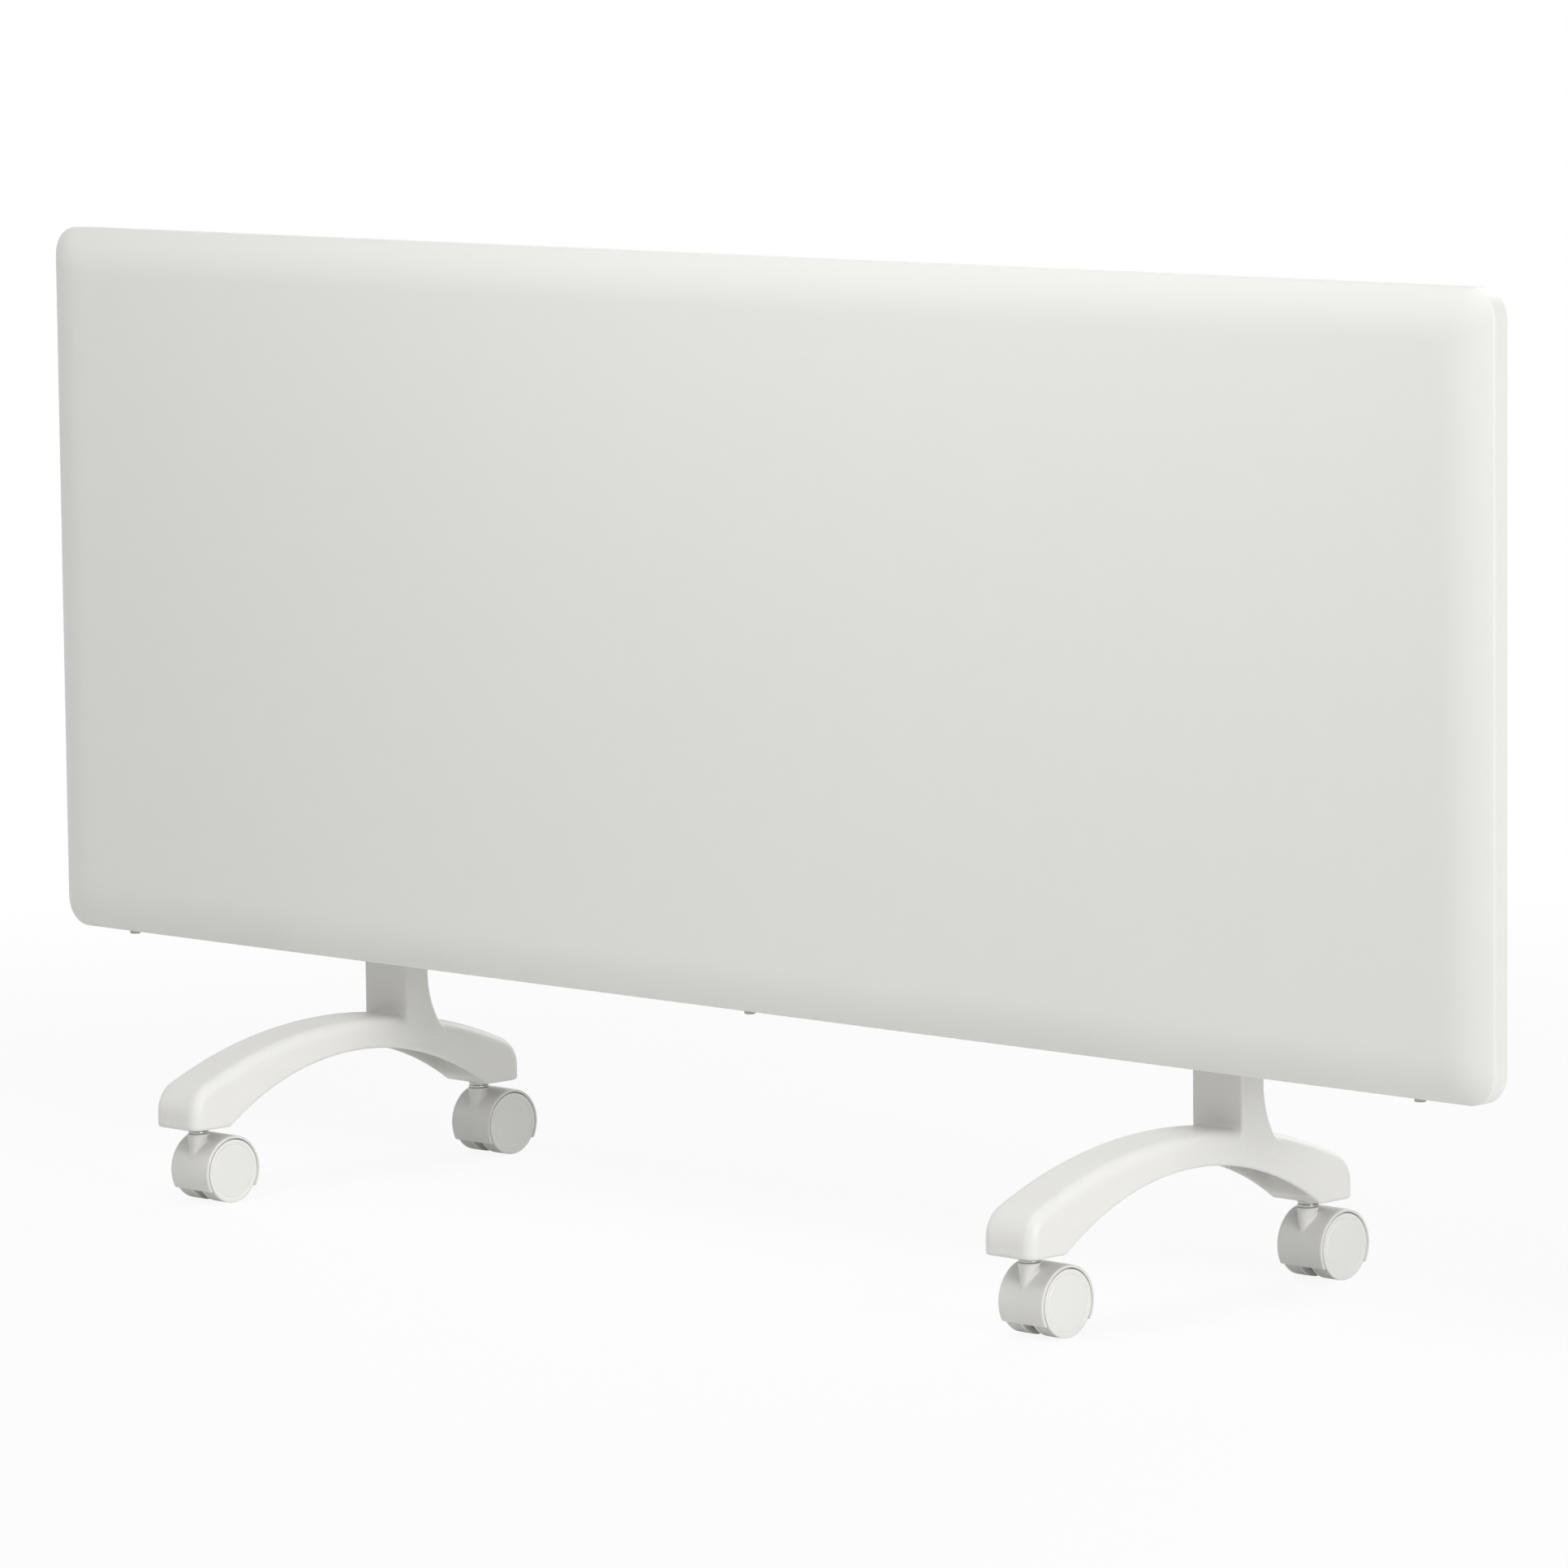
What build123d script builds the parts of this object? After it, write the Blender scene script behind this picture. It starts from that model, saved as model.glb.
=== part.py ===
from build123d import *
import math
import os

# Panel convector heater on two arched feet with four twin-wheel castors.
# Millimetres. +Z is up, -Y is the front, the floor is Z = 0 and the origin is
# the middle of the footprint.

# ---------------------------------------------------------------- general
sheet = 0.8                 # thickness of every folded steel sheet
seat_gap = 0.1              # gap between sheets that lie on each other
fit_gap = 0.3               # gap round a piece that drops into an opening
running_gap = 0.05          # radial clearance of a turning fit
hair = 0.1                  # places closer than this are the same place
over_cut = 1.0              # how far a cutting form stands out of what it cuts

# ---------------------------------------------------------------- castors
wheel_radius = 17.5
wheel_width = 11.2
wheel_rim_round = 1.2
wheel_core_inner = 6.0      # the wheel is cored out between hub and rim
wheel_core_outer = 14.0
wheel_core_depth = 6.0
axle_radius = 2.0
axle_depth_in_wheel = 7.0
hood_radius = 19.6
hood_pocket_radius = 18.0
hood_web = 7.0              # middle web that carries axle and stem
hood_cut_height = 7.5       # the hood ends this far above the floor
hood_edge_round = 0.6
wheel_side_gap = 0.3        # between web and wheel
castor_trail = 12.0         # axle behind the stem
boss_height = 21.0          # top of the stem boss above the axle
boss_top_radius = 6.0
boss_tip_radius = 1.6
boss_length = 13.5
boss_lean = 4.2             # how far its tip stands in front of the stem
stem_radius = 4.0
stem_length = 20.0          # part of the stem inside the socket
stem_tail_radius = 2.4
stem_tail_length = 18.0     # part of the stem pressed into the hood
collar_radius = 5.7
collar_height = 3.9
collar_chamfer = 0.4
stem_chamfer = 0.8
collar_gap = 0.3            # between collar and socket

# ---------------------------------------------------------------- legs
leg_spacing = 616.0         # between the middles of the two legs
leg_width = 34.0
leg_half_length = 124.8
leg_rise = 48.2             # crown above the flat ends
leg_arc_radius = 286.0      # top line of the arch
arch_rise = 31.1            # underside of the arch above the flat ends
arch_radius = 169.4         # bottom line of the arch
leg_nose_round = 10.5       # upper corner of each end, seen from the side
leg_edge_round = 6.5        # corners seen from above and all top edges
leg_foot_round = 1.5        # lower outer edge
leg_skin = 2.8
leg_end_block = 33.0        # solid length at each end
stem_inset = 17.8           # stem from the end of the leg
socket_wall = 1.6
socket_top_gap = 0.5
post_setback = 35.7         # front of the post behind the middle of the leg
post_depth = 17.2
post_height = 44.8          # above the crown
post_flare = 7.5            # how far the back of the post spreads at its foot
post_flare_height = 30.0
post_flare_turn = 0.28      # share of the spread at the turn of the flare
post_flare_turn_height = 0.42
post_web = 4.0              # top web that the screws clamp
post_root = 6.0             # how deep the post runs down into the arch

# ---------------------------------------------------------------- front cover
panel_width = 1050.0
panel_height = 400.0
panel_corner = 16.0
roll_width = 26.0           # soft border that falls back from the flat face
roll_depth = 7.0
roll_overrun = 2.0          # the roll is drawn this far past the side, then trimmed
rim_depth = 10.0            # straight rim behind the roll
cover_lead = 15.5           # flat face ahead of the middle of the legs
cover_drop = 10.0           # lower edge below the floor of the casing
tongue_length = 38.0        # two returned tongues hook over the backing plate
tongue_drop = 8.0
tongue_inset = 12.0
cover_screw_inset = 51.0
middle_screw_offset = 14.6
cover_screw_setback = 5.2   # behind the crease between roll and rim
cover_screw_radius = 2.0
cover_screw_length = 7.0
screw_head_height = 2.0
screw_head_radius = 3.0
screw_head_round = 1.0
screw_drive_radius = 1.4
screw_drive_depth = 1.0

# ---------------------------------------------------------------- backing plate
plate_lip = 6.0             # lip all round, turned forwards
nut_radius = 3.0
nut_height = 3.0

# ---------------------------------------------------------------- rear casing
casing_side_room = 72.0     # from the side of the cover to the side of the casing
casing_top_room = 11.0      # from the top of the cover down to the casing
casing_depth = 58.0
casing_corner = 5.0
casing_press_round = 4.0    # round between the sides and the back
casing_flange = 8.0
rivet_inset = 18.0          # last rivet from the side of the casing
rivet_row = 4               # rivets along the top and along the foot
rivet_radius = 1.6
rivet_head_radius = 3.0
rivet_head_height = 1.0
intake_length = 30.0
intake_width = 5.0
intake_pitch = 37.0
intake_rows = 3
intake_row_pitch = 13.0
intake_margin = 24.0
intake_foot_gap = 2.0       # between a slot and a foot plate
wall_slot_spacing_x = 600.0
wall_slot_spacing_z = 220.0
wall_slot_length = 16.0
wall_slot_radius = 3.0

# ---------------------------------------------------------------- outlet grille
grille_end_room = 13.2      # from each end of the channel to the opening
grille_depth = 40.0
grille_rim = 3.0
grille_rim_height = 2.0
grille_body_height = 6.0
grille_bays = 14
grille_rows = 5
grille_bar = 2.0

# ---------------------------------------------------------------- heating element
element_end_room = 73.2     # from each end of the channel to the fins
element_height = 75.0       # above the floor of the casing
element_fin_reach = 26.0
element_fin_thickness = 2.0
element_core_radius = 7.0
sheath_radius = 4.2
sheath_stub = 20.0          # sheath past the fins at each end
terminal_radius = 1.5
terminal_length = 14.0
bush_radius = 8.0
bush_length = 8.0
bush_flange_radius = 11.0
bush_flange_height = 3.0
bracket_thickness = 1.2
bracket_half_height = 27.0
bracket_foot = 16.0
bracket_offset = 6.0        # from the end of the fins
bracket_rivet_rise = 16.0   # above and below the element
element_bar = 9.0           # short cross bar at the tip of each fin

# ---------------------------------------------------------------- control end
compartment = 58.0          # inner width of the electrical compartment
partition_flange = 10.0
partition_hole_radius = 6.0
lead_hole_radius = 2.5
control_width = 36.0
control_height = 96.0
control_drop = 14.0         # top of the opening below the top of the casing
control_plate = 2.4
control_overlap = 3.0
control_collar = 5.0
control_collar_wall = 1.6
knob_radius = 14.0
knob_height = 12.0
knob_bore_depth = 8.0
knob_edge_round = 2.0
knob_grip_radius = 1.4
knob_grip_depth = 1.0
knob_grip_start = 1.5       # grips begin above a plain skirt
knob_grips = 18
knob_pointer_width = 1.6
knob_pointer_depth = 0.8
knob_pointer_inner = 3.0
knob_pointer_margin = 2.0
knob_rest_turn = 135.0      # pointer left of upright at the lowest setting
knob_drop = 24.0            # knob axis below the top of the control opening
spindle_radius = 3.0
spindle_length = 14.0       # inside the thermostat
thermostat_height = 34.0
thermostat_width = 28.0
thermostat_depth = 22.0
thermostat_round = 2.0
bulb_radius = 3.0
bulb_length = 40.0
bulb_lift = 17.0            # above the floor of the casing
bulb_start = 6.0            # bulb begins this far inside the compartment
capillary_radius = 0.8
capillary_bend = 20.0
capillary_inset = 4.0       # from the front of the thermostat
switch_rise = 22.0          # rocker axis above the foot of the control opening
switch_length = 21.0
switch_width = 15.0
switch_bezel = 1.5
switch_bezel_height = 1.2
switch_bezel_round = 1.2
switch_body_depth = 16.0
switch_floor = 6.0
switch_wall = 1.6
blade_length = 7.0          # flat push-on terminals of switch and cutout
blade_width = 4.8
blade_thickness = 0.8
rocker_gap = 0.35
rocker_tilt = 8.0           # to each side of level
rocker_crown = 2.4
rocker_valley = 1.2
rocker_thickness = 5.0
pivot_radius = 1.0
pivot_length = 0.9
terminal_width = 22.0
terminal_depth = 14.0
terminal_height = 34.0
terminal_lift = 58.0        # above the floor of the casing
terminal_ways = 3
terminal_screw_radius = 2.0
terminal_screw_depth = 5.0
gland_bore_radius = 3.6
gland_body_radius = 7.0
gland_flange_radius = 10.0
gland_flange_height = 5.0
gland_chamfer = 1.2
gland_inner_length = 12.0
gland_nut_radius = 9.5
gland_nut_height = 4.0
cutout_radius = 8.0
cutout_height = 7.0
cutout_cap_radius = 5.8
cutout_cap_height = 2.5
cutout_lift = 120.0         # above the floor of the casing
wire_radius = 1.1
wire_bend = 6.0
wire_slack = 8.0            # straight run out of a blade
lead_spacing = 4.0          # between leads that leave the same piece
neutral_lift = 17.0         # neutral lead above the floor of the casing
stud_drop = 30.0            # earth stud below the terminal block
stud_radius = 2.0
stud_length = 10.0
stud_head_radius = 4.0
stud_head_height = 1.2
stud_nut_height = 2.4
stud_nut_gap = 2.0

# ---------------------------------------------------------------- foot fixing
foot_plate_length = 60.0
foot_plate_depth = 30.0
foot_plate_thickness = 2.5
foot_screw_spare = 1.0      # thread past the plate
foot_screw_radius = 2.4
foot_screw_spacing = 17.0
foot_screw_head_radius = 4.2
foot_screw_head_height = 2.8

# ---------------------------------------------------------------- levels
axle_level = wheel_radius
boss_top = axle_level + boss_height
leg_foot = boss_top + collar_height + collar_gap
crown = leg_foot + leg_rise
casing_floor = crown + post_height
casing_width = panel_width - 2 * casing_side_room
casing_height = panel_height - cover_drop - casing_top_room
casing_top = casing_floor + casing_height
panel_low = casing_floor - cover_drop
panel_top = panel_low + panel_height
panel_middle = panel_low + panel_height / 2
casing_middle = casing_floor + casing_height / 2

# ---------------------------------------------------------------- places, front to back
stem_offset = leg_half_length - stem_inset
leg_middle = (leg_half_length - stem_offset - castor_trail - hood_radius) / 2
cover_face = leg_middle - cover_lead
crease = cover_face + roll_depth
rim_back = crease + rim_depth
plate_back = rim_back - sheet - seat_gap
plate_front = plate_back - sheet
casing_front = plate_back + seat_gap
casing_back = casing_front + casing_depth
channel_front = casing_front + sheet
channel_back = casing_back - sheet
channel_middle = (channel_front + channel_back) / 2
post_front = leg_middle + post_setback
post_middle = post_front + post_depth / 2
cover_screw_line = crease + cover_screw_setback
roll_radius = (roll_width ** 2 + roll_depth ** 2) / (2 * roll_depth)

# ---------------------------------------------------------------- places, left to right
leg_places = (-leg_spacing / 2, leg_spacing / 2)
casing_side = casing_width / 2
casing_inner_side = casing_side - sheet
partition_place = casing_inner_side - compartment
channel_length = casing_inner_side + partition_place
grille_length = channel_length - 2 * grille_end_room
element_length = channel_length - 2 * element_end_room
element_middle = -compartment / 2
element_end = element_length / 2
element_level = casing_floor + element_height
element_line = channel_middle
compartment_middle = partition_place + compartment / 2
control_line = channel_middle
control_top = casing_top - control_drop
control_foot = control_top - control_height
knob_level = control_top - knob_drop
cutout_level = casing_floor + cutout_lift
bulb_level = casing_floor + bulb_lift
rocker_level = control_foot + switch_rise
control_face = casing_side + control_plate
switch_back = control_face - switch_body_depth
thermostat_back = casing_side - thermostat_depth
terminal_low = casing_floor + terminal_lift
terminal_high = terminal_low + terminal_height
terminal_line = channel_back - terminal_depth / 2


def block(x_low, x_high, y_low, y_high, z_low, z_high):
    """A box from its lowest to its highest corner."""
    size = (x_high - x_low, y_high - y_low, z_high - z_low)
    middle = ((x_low + x_high) / 2, (y_low + y_high) / 2, (z_low + z_high) / 2)
    return Pos(*middle) * Box(*size)


def rod(start, direction, radius, length):
    """A round bar from a point along a direction."""
    return Plane(origin=start, z_dir=direction) * Cylinder(
        radius, length, align=(Align.CENTER, Align.CENTER, Align.MIN)
    )


def save(name, *solids):
    """Writes one node; several solids stay separate in it."""
    shape = solids[0] if len(solids) == 1 else Compound(children=list(solids))
    export_step(shape, f"parts/{name}.step")


# ---------------------------------------------------------------- front cover
def rolled_edges(half_length, inset, point):
    """Outline of the cover seen along an edge: roll, flat face, roll, square back."""
    flat = half_length - roll_width
    side = half_length - inset + roll_overrun
    radius = roll_radius - inset
    centre_depth = cover_face + roll_radius
    steepest = math.asin((side - flat) / radius)
    edge_depth = centre_depth - radius * math.cos(steepest)
    middle_length = flat + radius * math.sin(steepest / 2)
    middle_depth = centre_depth - radius * math.cos(steepest / 2)
    face_depth = cover_face + inset
    back = rim_back + inset
    return [
        Line(point(-side, back), point(-side, edge_depth)),
        ThreePointArc(
            point(-side, edge_depth),
            point(-middle_length, middle_depth),
            point(-flat, face_depth),
        ),
        Line(point(-flat, face_depth), point(flat, face_depth)),
        ThreePointArc(
            point(flat, face_depth),
            point(middle_length, middle_depth),
            point(side, edge_depth),
        ),
        Line(point(side, edge_depth), point(side, back)),
        Line(point(side, back), point(-side, back)),
    ]


def cover_form(inset):
    """The whole form of the cover, pulled in by the inset on every side."""
    reach = panel_width
    across = make_face(
        rolled_edges(panel_width / 2, inset, lambda s, d: (s, d, 0))
    )
    across = extrude(across, amount=reach, dir=(0, 0, 1))
    upright = make_face(
        rolled_edges(
            panel_height / 2, inset, lambda s, d: (-reach / 2, d, panel_middle + s)
        )
    )
    upright = extrude(upright, amount=reach, dir=(1, 0, 0))
    outline = Plane.XZ * RectangleRounded(
        panel_width - 2 * inset, panel_height - 2 * inset, panel_corner - inset
    )
    depth = roll_depth + rim_depth + 2 * inset
    outline = extrude(outline, amount=depth + panel_corner, dir=(0, 1, 0))
    outline = Pos(0, cover_face, panel_middle) * outline
    return across & upright & outline


def cover_screw_places():
    side = panel_width / 2 - cover_screw_inset
    return (-side, middle_screw_offset, side)


def front_cover():
    shell = cover_form(0) - cover_form(sheet)
    lip_top = panel_top - sheet
    for side in (-1, 1):
        outer = panel_width / 2 - tongue_inset
        ends = sorted((side * outer, side * (outer - tongue_length)))
        shell += block(
            *ends, rim_back - sheet, rim_back, lip_top - tongue_drop, lip_top + sheet / 2
        )
    for place in cover_screw_places():
        shell -= rod(
            (place, cover_screw_line, panel_low - sheet),
            (0, 0, 1),
            cover_screw_radius + running_gap,
            3 * sheet,
        )
    return shell


# ---------------------------------------------------------------- backing plate
def backing_plate():
    """Shallow tray inside the rim; the cover screws go through its lower lip."""
    margin = sheet + fit_gap
    outer = RectangleRounded(
        panel_width - 2 * margin, panel_height - 2 * margin, panel_corner - margin
    )
    inner = RectangleRounded(
        panel_width - 2 * (margin + sheet),
        panel_height - 2 * (margin + sheet),
        panel_corner - margin - sheet,
    )
    tray = extrude(Plane.XZ * outer, amount=sheet + plate_lip, dir=(0, 1, 0))
    hollow = extrude(Plane.XZ * inner, amount=plate_lip, dir=(0, 1, 0))
    tray = Pos(0, plate_front - plate_lip, panel_middle) * (tray - hollow)
    for place in rivet_places():
        tray -= rod(
            (place[0], plate_front - sheet, place[1]), (0, 1, 0), rivet_radius, 3 * sheet
        )
    lip_low = panel_low + margin
    for place in cover_screw_places():
        tray -= rod(
            (place, cover_screw_line, lip_low - sheet),
            (0, 0, 1),
            cover_screw_radius + running_gap,
            3 * sheet,
        )
    return tray


def cover_nuts():
    nuts = []
    for place in cover_screw_places():
        start = (place, cover_screw_line, panel_low + 2 * sheet + fit_gap)
        nut = rod(start, (0, 0, 1), nut_radius, nut_height)
        nut -= rod(start, (0, 0, 1), cover_screw_radius, nut_height)
        nuts.append(nut)
    return nuts


def cover_screws():
    screws = []
    for place in cover_screw_places():
        under = (place, cover_screw_line, panel_low)
        head = rod(under, (0, 0, -1), screw_head_radius, screw_head_height)
        low_rim = head.faces().sort_by(Axis.Z)[0].edges()
        head = fillet(low_rim, screw_head_round)
        low = (place, cover_screw_line, panel_low - screw_head_height)
        head -= Pos(*low) * extrude(
            RegularPolygon(screw_drive_radius, 6), amount=screw_drive_depth
        )
        shank = rod(under, (0, 0, 1), cover_screw_radius, cover_screw_length)
        screws.append(head + shank)
    return screws


# ---------------------------------------------------------------- rear casing
def rivet_places():
    """Rivets along the flange of the casing, as (x, z)."""
    side = casing_side + casing_flange / 2
    high = casing_top + casing_flange / 2
    low = casing_floor - casing_flange / 2
    places = [(-side, casing_middle), (side, casing_middle)]
    first = -casing_side + rivet_inset
    pitch = -2 * first / (rivet_row - 1)
    for step in range(rivet_row):
        places.append((first + step * pitch, high))
        places.append((first + step * pitch, low))
    return places


def rivet(start, grip):
    """A tubular rivet along +Y with a head at both ends; start is the front sheet."""
    x, y, z = start
    body = rod((x, y, z), (0, 1, 0), rivet_radius, grip)
    body += rod((x, y, z), (0, -1, 0), rivet_head_radius, rivet_head_height)
    body += rod((x, y + grip, z), (0, 1, 0), rivet_head_radius, rivet_head_height)
    return body


def casing_rivets():
    grip = casing_front + sheet - plate_front
    return [rivet((x, plate_front, z), grip) for x, z in rivet_places()]


def tray_form(inset, depth):
    """The tray of the casing, pulled in by the inset, open towards the front."""
    face = Plane.XZ * RectangleRounded(
        casing_width - 2 * inset, casing_height - 2 * inset, casing_corner - inset
    )
    tray = extrude(face, amount=depth, dir=(0, 1, 0))
    back_edges = tray.faces().sort_by(Axis.Y)[-1].edges()
    return fillet(back_edges, casing_press_round - inset)


def intake_places():
    """Middles of the intake slots along X, clear of the feet and the compartment."""
    first = -casing_side + intake_margin + intake_length / 2
    last = partition_place - intake_margin - intake_length / 2
    count = int((last - first) / intake_pitch) + 1
    keep_out = foot_plate_length / 2 + intake_length / 2 + intake_foot_gap
    places = [first + step * intake_pitch for step in range(count)]
    return [x for x in places if min(abs(x - leg) for leg in leg_places) > keep_out]


def rear_casing():
    outer = tray_form(0, casing_depth)
    inner = tray_form(sheet, casing_depth - sheet)
    flange = RectangleRounded(
        casing_width + 2 * casing_flange,
        casing_height + 2 * casing_flange,
        casing_corner + casing_flange,
    )
    flange = extrude(Plane.XZ * flange, amount=sheet, dir=(0, 1, 0))
    shell = outer + flange - inner
    shell = Pos(0, casing_front, casing_middle) * shell

    # air outlet in the top
    shell -= block(
        element_middle - grille_length / 2,
        element_middle + grille_length / 2,
        channel_middle - grille_depth / 2,
        channel_middle + grille_depth / 2,
        casing_top - 3 * sheet,
        casing_top + sheet,
    )
    # air intake in the floor
    for x in intake_places():
        for row in range(intake_rows):
            y = channel_middle + (row - (intake_rows - 1) / 2) * intake_row_pitch
            slot = SlotOverall(intake_length, intake_width)
            slot = extrude(slot, amount=3 * sheet)
            shell -= Pos(x, y, casing_floor - sheet) * slot
    # slots for a wall bracket
    for side in (-1, 1):
        for level in (-1, 1):
            slot = Plane.XZ * SlotOverall(wall_slot_length, 2 * wall_slot_radius)
            slot = extrude(slot, amount=3 * sheet, dir=(0, 1, 0))
            x = side * wall_slot_spacing_x / 2
            z = casing_middle + level * wall_slot_spacing_z / 2
            shell -= Pos(x, casing_back - 2 * sheet, z) * slot
    # opening for the control plate
    shell -= block(
        casing_side - 3 * sheet,
        casing_side + sheet,
        control_line - control_width / 2,
        control_line + control_width / 2,
        control_foot,
        control_top,
    )
    # holes for rivets, foot screws, gland and earth stud
    for x, z in rivet_places():
        shell -= rod((x, casing_front - sheet, z), (0, 1, 0), rivet_radius, 3 * sheet)
    for x, z in bracket_rivet_places():
        shell -= rod((x, casing_back - 2 * sheet, z), (0, 1, 0), rivet_radius, 4 * sheet)
    for x in foot_screw_places():
        shell -= rod(
            (x, post_middle, casing_floor - sheet),
            (0, 0, 1),
            foot_screw_radius + running_gap,
            3 * sheet,
        )
    shell -= rod(
        (compartment_middle, channel_middle, casing_floor - sheet),
        (0, 0, 1),
        gland_body_radius,
        3 * sheet,
    )
    stud_x, stud_z = stud_place()
    shell -= rod(
        (stud_x, casing_back - 2 * sheet, stud_z), (0, 1, 0), stud_radius, 4 * sheet
    )
    return shell


# ---------------------------------------------------------------- outlet grille
def outlet_grille():
    """A moulded grille that drops into the top opening and rests on its rim."""
    length = grille_length - 2 * fit_gap
    depth = grille_depth - 2 * fit_gap
    rim = Box(
        grille_length + 2 * grille_rim,
        grille_depth + 2 * grille_rim,
        grille_rim_height,
        align=(Align.CENTER, Align.CENTER, Align.MIN),
    )
    rim = fillet(rim.edges().filter_by(Axis.Z), grille_rim)
    body = Box(
        length,
        depth,
        grille_body_height,
        align=(Align.CENTER, Align.CENTER, Align.MAX),
    )
    grille = rim + body
    bay = (length - grille_bar) / grille_bays
    row = (depth - grille_bar) / grille_rows
    for column in range(grille_bays):
        for line in range(grille_rows):
            x = -length / 2 + grille_bar / 2 + (column + 0.5) * bay
            y = -depth / 2 + grille_bar / 2 + (line + 0.5) * row
            grille -= Pos(x, y, 0) * Box(
                bay - grille_bar, row - grille_bar, 3 * grille_body_height
            )
    return Pos(element_middle, channel_middle, casing_top) * grille


# ---------------------------------------------------------------- heating element
def element_fins():
    """Extruded body: a round core with four fins that end in short cross bars."""
    section = Circle(element_core_radius)
    for turn in (45, 135):
        section += Rot(0, 0, turn) * Rectangle(
            2 * element_fin_reach, element_fin_thickness
        )
    for turn in (45, 135, 225, 315):
        bar = Rectangle(element_fin_thickness, element_bar)
        section += Rot(0, 0, turn) * Pos(element_fin_reach, 0) * bar
    section -= Circle(sheath_radius)
    body = extrude(Plane.YZ * section, amount=element_length)
    start = element_middle - element_end
    return Pos(start, element_line, element_level) * body


def element_sheath():
    half = element_end + sheath_stub
    start = (element_middle - half, element_line, element_level)
    tube = rod(start, (1, 0, 0), sheath_radius, 2 * half)
    pin_start = (element_tip(-1), element_line, element_level)
    pin_length = element_tip(1) - element_tip(-1)
    return tube + rod(pin_start, (1, 0, 0), terminal_radius, pin_length)


def element_tip(side):
    """Outer end of one terminal of the element, along X."""
    return element_middle + side * (element_end + sheath_stub + terminal_length)


def bracket_face(side):
    """Side of the bracket that looks at the fins."""
    return element_middle + side * (element_end + bracket_offset)


def element_bush(side):
    face = (bracket_face(side), element_line, element_level)
    start = (face[0] - side * bush_flange_height, face[1], face[2])
    outwards = (side, 0, 0)
    bush = rod(start, outwards, bush_flange_radius, bush_flange_height)
    bush += rod(face, outwards, bush_radius, bush_length)
    return bush - rod(
        (start[0] - side * over_cut, start[1], start[2]),
        outwards,
        sheath_radius,
        bush_length + bush_flange_height + 2 * over_cut,
    )


def element_bracket(side):
    face = bracket_face(side)
    far = face + side * bracket_thickness
    foot_end = face + side * bracket_foot
    low = element_level - bracket_half_height
    high = element_level + bracket_half_height
    plate_start = element_line - element_fin_reach
    upright = block(*sorted((face, far)), plate_start, channel_back, low, high)
    foot_front = channel_back - bracket_thickness
    foot = block(*sorted((face, foot_end)), foot_front, channel_back, low, high)
    bracket = upright + foot
    bracket -= rod(
        (face - side * over_cut, element_line, element_level),
        (side, 0, 0),
        bush_radius,
        bracket_thickness + 2 * over_cut,
    )
    for x, z in bracket_rivet_places():
        bracket -= rod(
            (x, foot_front - sheet, z), (0, 1, 0), rivet_radius, 4 * bracket_thickness
        )
    return bracket


def bracket_rivet_places():
    places = []
    for side in (-1, 1):
        x = bracket_face(side) + side * (bracket_thickness + bracket_foot) / 2
        for level in (-1, 1):
            places.append((x, element_level + level * bracket_rivet_rise))
    return places


def bracket_rivets():
    front = channel_back - bracket_thickness
    grip = casing_back - front
    return [rivet((x, front, z), grip) for x, z in bracket_rivet_places()]


# ---------------------------------------------------------------- control end
def partition():
    """Wall between the air channel and the compartment, with its flange."""
    low = casing_floor + sheet + seat_gap
    high = casing_top - sheet - grille_body_height
    air_side = partition_place - sheet
    wall = block(air_side, partition_place, channel_front, channel_back, low, high)
    wall -= block(
        air_side,
        partition_place,
        channel_back - casing_press_round,
        channel_back,
        low,
        low + casing_press_round,
    )
    wall += block(
        air_side,
        partition_place + partition_flange,
        channel_back - sheet,
        channel_back,
        low + casing_press_round,
        high,
    )
    holes = (
        (element_line, element_level, partition_hole_radius),
        (element_line, cutout_level, cutout_cap_radius + running_gap),
        (terminal_line, casing_floor + neutral_lift, lead_hole_radius),
        (capillary_line(), bulb_level, bulb_radius + running_gap),
    )
    for y, z, radius in holes:
        wall -= rod((partition_place - 2 * sheet, y, z), (1, 0, 0), radius, 4 * sheet)
    return wall


def cutout_blades():
    """Middles of the two blades of the cutout, along Y."""
    return (element_line - lead_spacing, element_line + lead_spacing)


def overheat_cutout():
    """Round bimetal cutout: its cap looks into the air channel, its blades do not."""
    start = (partition_place, element_line, cutout_level)
    body = rod(start, (1, 0, 0), cutout_radius, cutout_height)
    body += rod(start, (-1, 0, 0), cutout_cap_radius, sheet + cutout_cap_height)
    reach = partition_place + cutout_height
    for y in cutout_blades():
        body += block(
            reach,
            reach + blade_length,
            y - blade_thickness / 2,
            y + blade_thickness / 2,
            cutout_level - blade_width / 2,
            cutout_level + blade_width / 2,
        )
    return body


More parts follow.
